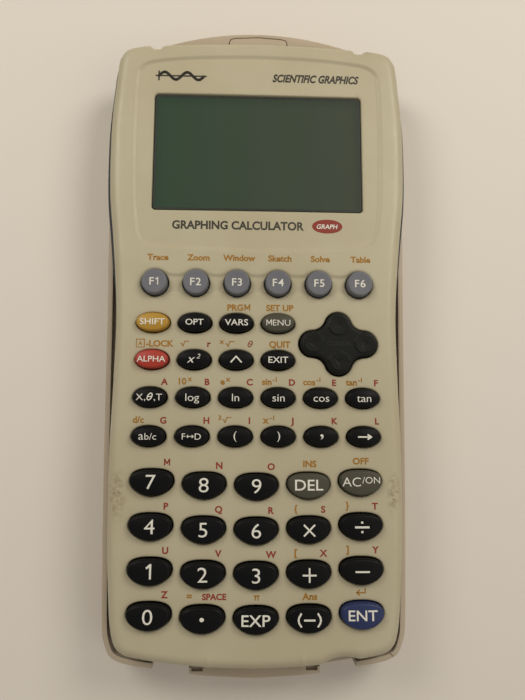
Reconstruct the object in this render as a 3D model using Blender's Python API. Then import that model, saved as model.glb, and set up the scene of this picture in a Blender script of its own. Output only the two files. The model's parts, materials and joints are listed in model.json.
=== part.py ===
"""Graphing calculator with its slide cover stored on the back.

Frame: metres, +X right, +Y towards the display end, +Z up through the keys. The origin is under
the middle of the object, on the surface that it lies on. Sizes below are in millimetres, and
MM turns them into metres.
"""

import math

import bmesh
import bpy
from mathutils import Vector

MM = 0.001
GAP = 0.3  # between pieces that touch
LEDGE = 0.05  # height over which a lofted piece steps in or out
ROUND = 2.0  # power of a superellipse that is a circle

# Heights of the stack, from the table up
COVER_FLOOR = 1.8
COVER_RIM = 10.4
CASE_BOTTOM = 2.1
CASE_WALL = 1.6
CASE_RIM = 12.0
SHELL_BOTTOM = CASE_RIM + GAP
SHELL_TOP = 19.5
SHELL_WALL = 1.6
PLATE_UNDERSIDE = SHELL_TOP - SHELL_WALL
BOARD = (12.8, 14.0)
MAT = (14.3, 15.1)
SHEET_ENDS = (-79.0, 27.5)  # of the board and the mat, before their insets
SHEET_SAG = 1.0
BOARD_INSET = 0.5
MAT_INSET = 1.2
FLANGE = (16.4, 17.4)  # of a key, under the shell's plate
KEY_TOP = 21.5

# Front shell: its plan, right half from the top centre to the bottom centre, and its edge as
# (inset, depth below the top)
SHELL_HALF = [
    (0, 83.6), (16, 83.15), (27, 82.55), (32.5, 82.2), (36.9, 81.1), (38.7, 79.1),
    (39.5, 77.0), (40.1, 70.5), (40.9, 60.0), (41.0, 48.0), (40.6, 37.0), (39.5, 26.5),
    (38.4, 14.5), (37.75, 3.0), (37.9, -14.0), (38.3, -32.0), (38.0, -54.0), (37.3, -66.0),
    (36.7, -73.5), (36.0, -77.5), (35.0, -79.9), (33.2, -81.5), (30.6, -82.3),
    (25.3, -83.2), (14.0, -84.5), (0, -85.1),
]
SHELL_EDGE = ((0.0, 2.4), (0.7, 0.7), (2.4, 0.0))
NOTCH_X = (27.7, 30.0)  # notches in the top edge, beside the battery door's hood
NOTCH_Y = (81.7, 85.0)

# Rear case
CASE_HALF_WIDTH = 37.6  # of the tub, which is straight so that the cover can slide
CASE_ENDS = (-84.2, 81.6)
CASE_CORNER = 7.0
CASE_INSET = 2.4  # of the hollow, from the tub's sides
CASE_END_WALL = 2.0
END_SAG = 1.9  # how far the end edges bow outwards at the middle
RIM_SPREAD = 0.037  # how much wider than the shell the case's rim is, at its display end
RIM_FADE = (-15.0, 20.0)  # the rim narrows to the shell's width between these
RIM_HEIGHT = 1.1
GROOVE = (5.7, 7.7)  # heights of the side grooves that the cover's rails run in
GROOVE_DEPTH = 1.1
GROOVE_END = 74.0

# Slide cover
COVER_HALF = [
    (0, 86.0), (20, 85.2), (34, 83.5), (39.5, 79.5), (41.6, 72.0), (42.1, 60.0), (42.1, 45.0),
    (42.0, 26.0), (41.6, 7.0), (41.3, -14.0), (40.9, -40.0), (40.4, -60.0), (39.9, -76.0),
    (39.3, -80.5), (37.9, -83.9), (35.6, -85.5), (32.0, -86.5), (27.0, -87.3), (14.0, -89.1),
    (0, -89.9),
]
COVER_WALL = 1.4
COVER_BEVEL = 1.0
COVER_HOLLOW_END = -87.0  # the hollow stops here, so the end strip is thick
COVER_GAP_X = (17.0, 26.6)  # gaps in the end wall, between the strip and the corner walls
COVER_GAP_LOW = 4.0
COVER_GAP_DEPTH = 4.0  # of the gaps, from the strip's apex inwards
WALL_TOP_END = 72.0  # the side walls stop here, short of the open end
RAIL = (6.1, 7.3)
RAIL_REACH = 0.7  # into the case's groove
RAIL_ENDS = (-72.0, 71.0)

# Display
WINDOW = (57.9, 33.9)
WINDOW_CENTRE = (0.0, 50.15)
WINDOW_CORNER = 1.0
WINDOW_LIP = 2.0  # of the window, under the shell's plate on every side
WINDOW_HEIGHTS = (16.6, 17.5, 18.4)  # underside, top of the lip, top
LCD = (66.0, 40.0)
LCD_HEIGHTS = (14.7, 16.3)

# Keys: rows as (height up the plate, distance between keys)
F_ROW = (12.7, 10.92)
SMALL_ROWS = ((1.9, 10.97), (-7.9, 10.98), (-17.75, 11.09), (-27.75, 11.12))
LARGE_ROWS = ((-39.4, 13.32), (-50.35, 13.32), (-61.15, 13.28), (-71.75, 13.25))
LARGE_ROW_DROP = (0.0, 0.78, 1.05, 0.78, 0.0)  # the number rows arch
F_KEY = (6.7, 6.7)
SMALL_KEY = (8.55, 4.9)
LARGE_KEY = (10.8, 6.4)
KEY_FLANGE = 0.5  # how far a key's flange stands out
KEY_CROWN = (0.7, 0.6)  # bevel of a key's top: inwards, down

F_NAMES = ("f1", "f2", "f3", "f4", "f5", "f6")
SMALL_NAMES = (
    ("shift", "options", "variables", "menu"),
    ("alpha", "square", "power", "exit"),
    ("variable_x", "log", "ln", "sin", "cos", "tan"),
    ("fraction", "convert", "paren_open", "paren_close", "comma", "arrow"),
)
LARGE_NAMES = (
    ("7", "8", "9", "delete", "on"),
    ("4", "5", "6", "multiply", "divide"),
    ("1", "2", "3", "add", "subtract"),
    ("0", "point", "exponent", "negative", "enter"),
)

# Cursor pad
PAD_CENTRE = (21.5, -3.4)
PAD_LOBES = (6.9, 4.95)  # from the middle of the pad to a side lobe's and an end lobe's middle
PAD_LOBE = 3.3
PAD_WAIST = 4.0  # radius of the hollow curves between the lobes
PAD_GAP = 0.45
PAD_FLANGE = 0.7
PAD_FLANGE_HEIGHTS = (15.9, 16.7)
PAD_CROWN = (0.8, 0.7)  # bevel of the pad's top: inwards, down
PAD_RECESS = (0.7, 0.4)  # clearance round the pivot's neck and over it
PIVOT_HEIGHT = 16.5
PIVOT_FOOT = 5.4
PIVOT_NECK = 4.0
PIVOT_TOP = 17.1

# Batteries, AAA
CELL_RADIUS = 5.25
CELL_NUB = (1.9, 0.8)  # radius and length of the raised terminal
CELL_LENGTH = 44.5
CELL_PITCH = 10.9
CELL_MIDDLE = (0.0, 55.5, 9.15)

# Battery door
DOOR_PLATE = (54.0, 1.4)  # width, thickness
DOOR_FRONT = 32.5
DOOR_BACK = 84.6
HOOD_HALF_WIDTH = 27.6
HOOD_TOP = 13.4
HOOD_APEX = 89.9
HOOD_EDGE = (82.5, 83.6)  # the shell's top edge beside the hood's ends and at its middle
HOOD_GAP = 0.35  # from the shell's top edge
HOOD_END = 2.2  # thickness at its ends
TAB_HALF_WIDTH = 8.9
TAB_SLOT = 0.4
TAB_DEPTH = 1.2  # from the hood's outer edge to the slot behind the tab
TAB_SLOT_FLOOR = 1.0  # below the hood's top, for the slot behind the tab
TAB_SIDE_FLOOR = 2.0  # above the door's plate, for the slots beside the tab

SIDES = 16  # of a small outline
BEYOND = 95.0  # clear of every end, for cutters

COLOURS = {
    "cream": ((0.50, 0.42, 0.29), 0.45, 0.0),
    "charcoal": ((0.045, 0.048, 0.06), 0.5, 0.0),
    "black_key": ((0.016, 0.015, 0.013), 0.35, 0.0),
    "grey_key": ((0.06, 0.055, 0.04), 0.4, 0.0),
    "lavender_key": ((0.24, 0.23, 0.29), 0.4, 0.0),
    "ochre_key": ((0.50, 0.28, 0.03), 0.4, 0.0),
    "red_key": ((0.38, 0.03, 0.025), 0.4, 0.0),
    "blue_key": ((0.03, 0.043, 0.14), 0.4, 0.0),
    "window": ((0.06, 0.09, 0.065), 0.08, 0.0),
    "lcd": ((0.05, 0.085, 0.055), 0.3, 0.0),
    "board": ((0.02, 0.10, 0.04), 0.5, 0.0),
    "silicone": ((0.35, 0.35, 0.33), 0.7, 0.0),
    "steel": ((0.55, 0.55, 0.53), 0.3, 1.0),
}
KEY_COLOURS = {
    "shift": "ochre_key",
    "alpha": "red_key",
    "menu": "grey_key",
    "delete": "grey_key",
    "on": "grey_key",
    "enter": "blue_key",
}


def clear_scene():
    for obj in list(bpy.data.objects):
        bpy.data.objects.remove(obj)


def material(name):
    made = bpy.data.materials.get(name)
    if made is None:
        colour, roughness, metallic = COLOURS[name]
        made = bpy.data.materials.new(name)
        made.use_nodes = True
        shader = made.node_tree.nodes["Principled BSDF"]
        shader.inputs["Base Color"].default_value = (*colour, 1.0)
        shader.inputs["Roughness"].default_value = roughness
        shader.inputs["Metallic"].default_value = metallic
    return made


# Outlines: lists of (x, y) in millimetres, anticlockwise


def spline(points, steps):
    """A Catmull-Rom curve through the points, which stay on it; the last point is left out."""
    made = []
    for i in range(len(points) - 1):
        before = Vector(points[max(i - 1, 0)])
        start = Vector(points[i])
        end = Vector(points[i + 1])
        after = Vector(points[min(i + 2, len(points) - 1)])
        for step in range(steps):
            t = step / steps
            bend = (2 * before - 5 * start + 4 * end - after) * t * t
            twist = (3 * start - before - 3 * end + after) * t**3
            made.append(tuple((2 * start + (end - before) * t + bend + twist) / 2))
    return made


def mirrored(half, steps=3):
    """A closed outline from its right half, top to bottom, and the mirror image."""
    right = spline(half, steps) + [half[-1]]
    left = [(-x, y) for x, y in right[1:-1]]
    return left + right[::-1]


def tray_outline(half_width, low, high, sag, corner, steps=6):
    """Straight sides, ends that bow outwards by sag, and round corners."""
    made = []
    for side, end in ((1, high), (-1, low)):
        edge = end - side * sag
        for turn in range(steps + 1):
            angle = math.pi / 2 * turn / steps
            x = half_width - corner + corner * math.cos(angle)
            y = edge - side * corner * (1 - math.sin(angle))
            made.append((side * x, y))
        for part in range(1, 8):
            x = (half_width - corner) * (1 - part / 4)
            bow = sag * (1 - (x / (half_width - corner)) ** 2)
            made.append((side * x, edge + side * bow))
        for turn in range(steps + 1):
            angle = math.pi / 2 * (1 + turn / steps)
            x = -(half_width - corner) + corner * math.cos(angle)
            y = edge - side * corner * (1 - math.sin(angle))
            made.append((side * x, y))
    return made


def oval(size, power=2.1, sides=SIDES):
    """A superellipse; power 2 is an ellipse, and a higher one is squarer."""
    made = []
    for i in range(sides):
        angle = 2 * math.pi * i / sides
        c, s = math.cos(angle), math.sin(angle)
        x = math.copysign(abs(c) ** (2 / power), c) * size[0] / 2
        y = math.copysign(abs(s) ** (2 / power), s) * size[1] / 2
        made.append((x, y))
    return made


def shield(size, sides=SIDES):
    """A number key: flat-arched above its widest line and deeply curved below it."""
    above, below = size[1] * 0.43, size[1] * 0.57
    made = []
    for i in range(sides):
        angle = 2 * math.pi * i / sides
        c, s = math.cos(angle), math.sin(angle)
        power = 2.55 if s > 0 else 1.9
        x = math.copysign(abs(c) ** (2 / power), c) * size[0] / 2
        y = math.copysign(abs(s) ** (2 / power), s) * (above if s > 0 else below)
        made.append((x, y + (below - above) / 2))
    return made


def rounded(size, corner, steps=3):
    """A rectangle about the origin with round corners."""
    made = []
    for quarter in range(4):
        side_x = 1 if quarter in (0, 3) else -1
        side_y = 1 if quarter < 2 else -1
        for step in range(steps + 1):
            angle = math.pi / 2 * (quarter + step / steps)
            x = side_x * (size[0] / 2 - corner) + corner * math.cos(angle)
            y = side_y * (size[1] / 2 - corner) + corner * math.sin(angle)
            made.append((x, y))
    return made


def arc(centre, radius, first, last, steps):
    made = []
    for step in range(steps + 1):
        angle = first + (last - first) * step / steps
        made.append((centre[0] + radius * math.cos(angle), centre[1] + radius * math.sin(angle)))
    return made


def clover(steps=4):
    """The cursor pad: four round lobes, joined by hollow curves that meet them smoothly."""
    side, end = PAD_LOBES
    span = math.hypot(side, end) / 2
    reach = math.sqrt((PAD_LOBE + PAD_WAIST) ** 2 - span**2)
    hollow = (side / 2 + reach * end / 2 / span, end / 2 + reach * side / 2 / span)
    from_side = math.atan2(hollow[1], hollow[0] - side)
    from_end = math.atan2(hollow[1] - end, hollow[0])
    quarter = arc((side, 0), PAD_LOBE, 0, from_side, steps)
    quarter += arc(hollow, PAD_WAIST, from_side - math.pi, from_end - math.pi, steps)[1:-1]
    quarter += arc((0, end), PAD_LOBE, from_end, math.pi / 2, steps)
    upper = quarter + [(-x, y) for x, y in quarter[-2::-1]]
    return upper + [(x, -y) for x, y in upper[-2:0:-1]]


def grown(points, distance):
    """The outline moved outwards by distance, or inwards if it is negative."""
    made = []
    count = len(points)
    for i, (x, y) in enumerate(points):
        before, after = points[i - 1], points[(i + 1) % count]
        along = Vector((after[0] - before[0], after[1] - before[1])).normalized()
        made.append((x + along.y * distance, y - along.x * distance))
    return made


def moved(points, centre):
    return [(x + centre[0], y + centre[1]) for x, y in points]


def rectangle(x_low, x_high, y_low, y_high):
    return [(x_low, y_low), (x_high, y_low), (x_high, y_high), (x_low, y_high)]


# Solids


def new_object(name, mesh_maker, colour):
    mesh = bmesh.new()
    mesh_maker(mesh)
    bmesh.ops.recalc_face_normals(mesh, faces=mesh.faces)
    data = bpy.data.meshes.new(name)
    mesh.to_mesh(data)
    mesh.free()
    obj = bpy.data.objects.new(name, data)
    bpy.context.scene.collection.objects.link(obj)
    if colour:
        data.materials.append(material(colour))
        data.shade_smooth()
        data.set_sharp_from_angle(angle=math.radians(35))
    return obj


def loft(name, rings, colour=None, origin=(0, 0, 0)):
    """A solid through rings of (outline, height); the origin is where the object turns."""

    def build(mesh):
        loops = []
        for outline, height in rings:
            place = [(x - origin[0], y - origin[1], height - origin[2]) for x, y in outline]
            loops.append([mesh.verts.new(Vector(point) * MM) for point in place])
        for lower, upper in zip(loops, loops[1:]):
            for i in range(len(lower)):
                j = (i + 1) % len(lower)
                mesh.faces.new((lower[i], lower[j], upper[j], upper[i]))
        mesh.faces.new(loops[0][::-1])
        mesh.faces.new(loops[-1])

    obj = new_object(name, build, colour)
    obj.location = Vector(origin) * MM
    return obj


def prism(name, outline, low, high, colour=None):
    return loft(name, [(outline, low), (outline, high)], colour)


def as_cutter(obj):
    obj.hide_render = True
    obj.display_type = "WIRE"
    return obj


def boolean(obj, other, operation="DIFFERENCE"):
    as_cutter(other)
    modifier = obj.modifiers.new(other.name, "BOOLEAN")
    modifier.operation = operation
    modifier.object = other


def boolean_all(obj, cutters):
    """Cuts with several solids that don't meet, as one collection."""
    group = bpy.data.collections.new(f"{obj.name}_cutters")
    bpy.context.scene.collection.children.link(group)
    for cutter in cutters:
        as_cutter(cutter)
        bpy.context.scene.collection.objects.unlink(cutter)
        group.objects.link(cutter)
    modifier = obj.modifiers.new("cutters", "BOOLEAN")
    modifier.operand_type = "COLLECTION"
    modifier.collection = group


# Where the keys are


def key_places():
    """Each key as (name, centre, outline of its cap)."""
    places = []
    y, pitch = F_ROW
    for i, name in enumerate(F_NAMES):
        places.append((name, ((i - 2.5) * pitch, y), oval(F_KEY, ROUND)))
    for names, (y, pitch) in zip(SMALL_NAMES, SMALL_ROWS):
        for i, name in enumerate(names):
            places.append((name, ((i - 2.5) * pitch, y), oval(SMALL_KEY)))
    for names, (y, pitch) in zip(LARGE_NAMES, LARGE_ROWS):
        for i, name in enumerate(names):
            places.append((name, ((i - 2) * pitch, y - LARGE_ROW_DROP[i]), shield(LARGE_KEY)))
    return places


# Pieces


def key(name, centre, outline):
    """A cap with a wider flange under the shell's plate; its top is slightly crowned."""
    colour = KEY_COLOURS.get(name, "lavender_key" if name in F_NAMES else "black_key")
    flange = moved(grown(outline, KEY_FLANGE), centre)
    inwards, down = KEY_CROWN
    cap = moved(outline, centre)
    rings = [
        (flange, FLANGE[0]),
        (flange, FLANGE[1]),
        (cap, FLANGE[1] + LEDGE),
        (cap, KEY_TOP - down),
        (moved(grown(outline, -inwards), centre), KEY_TOP),
    ]
    return loft(f"key_{name}", rings, colour, (*centre, FLANGE[0]))


def front_shell():
    outline = mirrored(SHELL_HALF)
    rings = [(outline, SHELL_BOTTOM)]
    for inset, depth in SHELL_EDGE:
        rings.append((grown(outline, -inset), SHELL_TOP - depth))
    shell = loft("front_shell", rings, "cream")
    inside = grown(outline, -SHELL_WALL)
    boolean(shell, prism("shell_inside", inside, SHELL_BOTTOM - 1, PLATE_UNDERSIDE))
    cutters = []
    for name, centre, cap in key_places():
        hole = moved(grown(cap, GAP), centre)
        cutters.append(prism(f"hole_{name}", hole, PLATE_UNDERSIDE - 1, SHELL_TOP + 1))
    pad = moved(grown(clover(), PAD_GAP), PAD_CENTRE)
    cutters.append(prism("hole_pad", pad, PLATE_UNDERSIDE - 1, SHELL_TOP + 1))
    opening = moved(rounded(WINDOW, WINDOW_CORNER), WINDOW_CENTRE)
    cutters.append(prism("hole_window", opening, PLATE_UNDERSIDE - 1, SHELL_TOP + 1))
    for side in (-1, 1):
        notch = rectangle(*sorted((side * NOTCH_X[0], side * NOTCH_X[1])), *NOTCH_Y)
        cutters.append(prism(f"notch_{side}", notch, SHELL_BOTTOM - 1, SHELL_TOP + 1))
    boolean_all(shell, cutters)
    return shell


def rim_outline():
    """The case's rim: the shell's plan, spread sideways at the display end."""
    low, high = RIM_FADE
    made = []
    for x, y in mirrored(SHELL_HALF):
        share = min(max((y - low) / (high - low), 0.0), 1.0)
        made.append((x * (1 + RIM_SPREAD * share), y))
    return made


def rear_case():
    tub = tray_outline(CASE_HALF_WIDTH, *CASE_ENDS, END_SAG, CASE_CORNER)
    case = prism("rear_case", tub, CASE_BOTTOM, CASE_RIM - RIM_HEIGHT / 2, "charcoal")
    flange = prism("case_flange", rim_outline(), CASE_RIM - RIM_HEIGHT, CASE_RIM)
    boolean(case, flange, "UNION")
    half = CASE_HALF_WIDTH - CASE_INSET
    low, high = CASE_ENDS[0] + CASE_END_WALL, CASE_ENDS[1] - CASE_END_WALL
    inner = tray_outline(half, low, high, END_SAG, CASE_CORNER - 1)
    boolean(case, prism("case_inside", inner, CASE_BOTTOM + CASE_WALL, CASE_RIM + 1))
    bay_half = DOOR_PLATE[0] / 2 + GAP
    bay = rectangle(-bay_half, bay_half, DOOR_FRONT - GAP, BEYOND)
    cutters = [prism("door_bay", bay, CASE_BOTTOM - 1, CASE_BOTTOM + DOOR_PLATE[1] + GAP)]
    for side in (-1, 1):
        edge = sorted((side * (CASE_HALF_WIDTH - GROOVE_DEPTH), side * (CASE_HALF_WIDTH + 1)))
        groove = rectangle(*edge, -BEYOND, GROOVE_END)
        cutters.append(prism(f"groove_{side}", groove, *GROOVE))
    boolean_all(case, cutters)
    return case


def rail_outline(outline, side):
    """A cover rail in plan: from inside the case's groove to the middle of the cover's wall."""
    low, high = RAIL_ENDS
    wall = grown(outline, -COVER_WALL / 2)
    outer = [point for point in wall if point[0] * side > 30 and low < point[1] < high]
    tip = side * (CASE_HALF_WIDTH - RAIL_REACH)
    ends = sorted(outer, key=lambda point: point[1])
    return ends + [(tip, ends[-1][1]), (tip, ends[0][1])]


def slide_cover():
    """A tray that follows the body's plan, with rails, corner walls and a strip at its end."""
    outline = mirrored(COVER_HALF)
    rings = [(grown(outline, -COVER_BEVEL), 0), (outline, COVER_BEVEL), (outline, COVER_RIM)]
    cover = loft("slide_cover", rings, "cream")
    hollow = [(x, max(y, COVER_HOLLOW_END)) for x, y in grown(outline, -COVER_WALL)]
    boolean(cover, prism("cover_hollow", hollow, COVER_FLOOR, COVER_RIM + 1))
    cutters = []
    for side in (-1, 1):
        gap_x = sorted((side * COVER_GAP_X[0], side * COVER_GAP_X[1]))
        gap = rectangle(*gap_x, -BEYOND, COVER_HALF[-1][1] + COVER_GAP_DEPTH)
        cutters.append(prism(f"end_gap_{side}", gap, COVER_GAP_LOW, COVER_RIM + 1))
    open_end = rectangle(-BEYOND, BEYOND, WALL_TOP_END, BEYOND)
    cutters.append(prism("open_end", open_end, COVER_FLOOR, COVER_RIM + 1))
    boolean_all(cover, cutters)
    for side in (-1, 1):
        boolean(cover, prism(f"rail_{side}", rail_outline(outline, side), *RAIL), "UNION")
    return cover


def hood_outline(steps=12):
    """The battery door's domed end, between the shell's bowed top edge and a deeper bow."""
    inner, outer = [], []
    for i in range(steps + 1):
        x = HOOD_HALF_WIDTH * (2 * i / steps - 1)
        reach = 1 - (x / HOOD_HALF_WIDTH) ** 2
        edge = HOOD_EDGE[0] + (HOOD_EDGE[1] - HOOD_EDGE[0]) * reach + HOOD_GAP
        bow = HOOD_APEX - HOOD_EDGE[1] - HOOD_GAP - HOOD_END
        inner.append((x, edge))
        outer.append((x, edge + HOOD_END + bow * reach))
    return inner + outer[::-1]


def battery_door():
    """A plate under the cells, with a domed end that hugs the shell's top edge."""
    half = DOOR_PLATE[0] / 2
    bottom, top = CASE_BOTTOM, CASE_BOTTOM + DOOR_PLATE[1]
    plate = rectangle(-half, half, DOOR_FRONT, DOOR_BACK)
    door = prism("battery_door", plate, bottom, top, "cream")
    boolean(door, prism("hood", hood_outline(), bottom + 2 * LEDGE, HOOD_TOP), "UNION")
    slot_low = HOOD_APEX - TAB_DEPTH
    width = TAB_HALF_WIDTH + TAB_SLOT
    across = rectangle(-width, width, slot_low, slot_low + TAB_SLOT)
    boolean(door, prism("tab_end", across, HOOD_TOP - TAB_SLOT_FLOOR, HOOD_TOP + 1))
    cutters = []
    for side in (-1, 1):
        edge = sorted((side * TAB_HALF_WIDTH, side * width))
        outline = rectangle(*edge, HOOD_EDGE[0] - 1, slot_low)
        cutters.append(prism(f"tab_side_{side}", outline, top + TAB_SIDE_FLOOR, HOOD_TOP + 1))
    boolean_all(door, cutters)
    return door


def display_window():
    wide = (WINDOW[0] + 2 * WINDOW_LIP, WINDOW[1] + 2 * WINDOW_LIP)
    narrow = (WINDOW[0] - 2 * GAP, WINDOW[1] - 2 * GAP)
    lip = moved(rounded(wide, WINDOW_CORNER), WINDOW_CENTRE)
    pane = moved(rounded(narrow, WINDOW_CORNER), WINDOW_CENTRE)
    low, lip_top, high = WINDOW_HEIGHTS
    rings = [(lip, low), (lip, lip_top), (pane, lip_top + LEDGE), (pane, high)]
    return loft("display_window", rings, "window")


def lcd_module():
    outline = moved(rounded(LCD, WINDOW_CORNER), WINDOW_CENTRE)
    return prism("lcd_module", outline, *LCD_HEIGHTS, "lcd")


def sheet_outline(inset):
    """The plan of the board and of the mat, between the battery bay and the bottom end."""
    half = CASE_HALF_WIDTH - CASE_INSET - inset
    low, high = SHEET_ENDS
    return tray_outline(half, low + inset, high - inset, SHEET_SAG, CASE_CORNER - 2)


def circuit_board():
    return prism("circuit_board", sheet_outline(BOARD_INSET), *BOARD, "board")


def key_mat():
    mat = prism("key_mat", sheet_outline(MAT_INSET), *MAT, "silicone")
    width = PIVOT_FOOT + 1
    hole = moved(oval((width, width), ROUND), PAD_CENTRE)
    boolean(mat, prism("mat_hole", hole, MAT[0] - 1, MAT[1] + 1))
    return mat


def battery_cell(number):
    """An AAA cell along Y, alternate ones turned end for end."""
    x = CELL_MIDDLE[0] + (number - 2.5) * CELL_PITCH
    way = 1 if number % 2 else -1
    half = CELL_LENGTH / 2
    nub, rise = CELL_NUB
    profile = [
        (0.0, -half), (CELL_RADIUS, -half), (CELL_RADIUS, half - rise),
        (nub, half - rise), (nub, half), (0.0, half),
    ]

    def build(mesh):
        points = [mesh.verts.new(Vector((r, way * along, 0)) * MM) for r, along in profile]
        edges = [mesh.edges.new(pair) for pair in zip(points, points[1:])]
        bmesh.ops.spin(
            mesh, geom=points + edges, cent=(0, 0, 0), axis=(0, 1, 0),
            angle=2 * math.pi, steps=16, use_merge=True,
        )
        bmesh.ops.remove_doubles(mesh, verts=mesh.verts, dist=1e-6)

    cell = new_object(f"battery_cell_{number}", build, "steel")
    cell.location = Vector((x, CELL_MIDDLE[1], CELL_MIDDLE[2])) * MM
    return cell


def cursor_pad():
    flange = moved(grown(clover(), PAD_FLANGE), PAD_CENTRE)
    cap = moved(clover(), PAD_CENTRE)
    inwards, down = PAD_CROWN
    crown = moved(grown(clover(), -inwards), PAD_CENTRE)
    low, high = PAD_FLANGE_HEIGHTS
    shoulder = KEY_TOP - down
    rings = [(flange, low), (flange, high), (cap, high + LEDGE), (cap, shoulder), (crown, KEY_TOP)]
    pad = loft("cursor_pad", rings, "black_key", (*PAD_CENTRE, PIVOT_HEIGHT))
    beside, over = PAD_RECESS
    width = PIVOT_NECK + 2 * beside
    recess = moved(oval((width, width), ROUND), PAD_CENTRE)
    boolean(pad, prism("pad_recess", recess, low - 1, PIVOT_TOP + over))
    return pad


def cursor_pad_pivot():
    foot = moved(oval((PIVOT_FOOT, PIVOT_FOOT), ROUND), PAD_CENTRE)
    neck = moved(oval((PIVOT_NECK, PIVOT_NECK), ROUND), PAD_CENTRE)
    foot_low, foot_top = BOARD[1] + GAP, MAT[1] - LEDGE
    rings = [(foot, foot_low), (foot, foot_top), (neck, foot_top + GAP), (neck, PIVOT_TOP)]
    return loft("cursor_pad_pivot", rings, "silicone", (*PAD_CENTRE, PIVOT_HEIGHT))


def build():
    clear_scene()
    front_shell()
    rear_case()
    slide_cover()
    battery_door()
    display_window()
    lcd_module()
    circuit_board()
    key_mat()
    for number in range(1, 5):
        battery_cell(number)
    cursor_pad()
    cursor_pad_pivot()
    for name, centre, outline in key_places():
        key(name, centre, outline)


build()
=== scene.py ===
"""Looks of the graphing calculator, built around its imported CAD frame.

Lengths in this file are in millimetres, in the frame's axes, and MM turns them into metres.
"""

import json
import math

import bmesh
import bpy
import numpy as np
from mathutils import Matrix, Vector
from mathutils.geometry import delaunay_2d_cdt

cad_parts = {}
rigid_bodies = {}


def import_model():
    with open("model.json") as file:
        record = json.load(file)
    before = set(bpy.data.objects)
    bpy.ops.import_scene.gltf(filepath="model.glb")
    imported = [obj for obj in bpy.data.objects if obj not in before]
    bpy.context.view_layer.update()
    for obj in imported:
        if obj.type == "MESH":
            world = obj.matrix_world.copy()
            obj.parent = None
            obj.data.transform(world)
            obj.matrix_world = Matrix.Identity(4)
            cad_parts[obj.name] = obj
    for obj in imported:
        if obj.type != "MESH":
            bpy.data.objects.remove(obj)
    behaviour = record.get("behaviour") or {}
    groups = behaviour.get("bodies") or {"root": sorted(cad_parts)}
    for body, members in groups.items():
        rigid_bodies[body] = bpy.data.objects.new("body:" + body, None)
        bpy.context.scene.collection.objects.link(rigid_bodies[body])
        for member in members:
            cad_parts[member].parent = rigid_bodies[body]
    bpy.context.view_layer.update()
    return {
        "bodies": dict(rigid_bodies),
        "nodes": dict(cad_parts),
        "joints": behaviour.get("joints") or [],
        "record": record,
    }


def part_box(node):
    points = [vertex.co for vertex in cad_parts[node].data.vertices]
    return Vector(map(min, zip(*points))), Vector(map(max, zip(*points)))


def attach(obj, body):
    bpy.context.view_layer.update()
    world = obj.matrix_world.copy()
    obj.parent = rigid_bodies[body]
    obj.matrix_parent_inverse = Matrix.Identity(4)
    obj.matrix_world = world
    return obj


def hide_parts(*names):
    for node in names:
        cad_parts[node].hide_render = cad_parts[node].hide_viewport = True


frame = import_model()

MM = 0.001
MAIN = "calculator"  # the body that everything else moves on


def box_mm(node):
    low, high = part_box(node)
    return low / MM, high / MM


def centre_mm(node):
    low, high = box_mm(node)
    return (low + high) / 2


SHELL_LOW, SHELL_HIGH = box_mm("front_shell")
TOP = SHELL_HIGH.z
PARTING = SHELL_LOW.z
PLATE = TOP - 1.6  # underside of the shell's plate
WINDOW_LOW, WINDOW_HIGH = box_mm("display_window")
WINDOW_CENTRE = (WINDOW_LOW + WINDOW_HIGH) / 2
WINDOW_LIP = 2.0  # of the window, under the shell's plate
WINDOW_CORNER = 1.0
OPENING = (
    WINDOW_HIGH.x - WINDOW_LOW.x - 2 * WINDOW_LIP,
    WINDOW_HIGH.y - WINDOW_LOW.y - 2 * WINDOW_LIP,
)
KEY_FLANGE = 0.5  # how far a key's flange stands out from its cap
KEY_FLANGE_LOW, KEY_FLANGE_HIGH = box_mm("key_5")
KEY_TOP = KEY_FLANGE_HIGH.z
KEY_GAP = 0.3
PAD_GAP = 0.4
PAD = centre_mm("cursor_pad")
F_NAMES = [f"f{i}" for i in range(1, 7)]
SMALL_NAMES = [
    "shift", "options", "variables", "menu", "alpha", "square", "power", "exit",
    "variable_x", "log", "ln", "sin", "cos", "tan",
    "fraction", "convert", "paren_open", "paren_close", "comma", "arrow",
]
LARGE_NAMES = [
    "7", "8", "9", "delete", "on", "4", "5", "6", "multiply", "divide",
    "1", "2", "3", "add", "subtract", "0", "point", "exponent", "negative", "enter",
]

# Plan of the shell and of its recessed panel, right half from the top centre to the bottom
SHELL_HALF = [
    (0, 83.6), (16, 83.15), (27, 82.55), (32.5, 82.2), (36.9, 81.1), (38.7, 79.1),
    (39.5, 77.0), (40.1, 70.5), (40.9, 60.0), (41.0, 48.0), (40.6, 37.0), (39.5, 26.5),
    (38.4, 14.5), (37.75, 3.0), (37.9, -14.0), (38.3, -32.0), (38.0, -54.0), (37.3, -66.0),
    (36.7, -73.5), (36.0, -77.5), (35.0, -79.9), (33.2, -81.5), (30.6, -82.3),
    (25.3, -83.2), (14.0, -84.5), (0, -85.1),
]
PANEL_HALF = [
    (0, 78.4), (16, 77.9), (28.5, 76.6), (32.5, 74.8), (33.7, 71.0), (34.0, 55.0),
    (33.7, 40.0), (33.0, 31.0), (32.0, 26.0), (29.3, 23.6), (16, 22.5), (0, 22.0),
]
RIM_RADIUS = 3.0
PANEL_DEPTH = 0.5
PANEL_EDGE = (-0.55, 0.45)  # the slope into the panel, across its outline
SOCKET = Vector((21.3, -84.2, 9.4))  # the link socket, in the bottom end of the rear case
CHANNEL_DEPTH = 0.42
CHANNEL_HALF = 2.7  # half its width between keys
CHANNEL_ROUND = 4.35  # its radius about a key
CHANNEL_BLEND = 0.45


# ---------------------------------------------------------------- outlines


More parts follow.
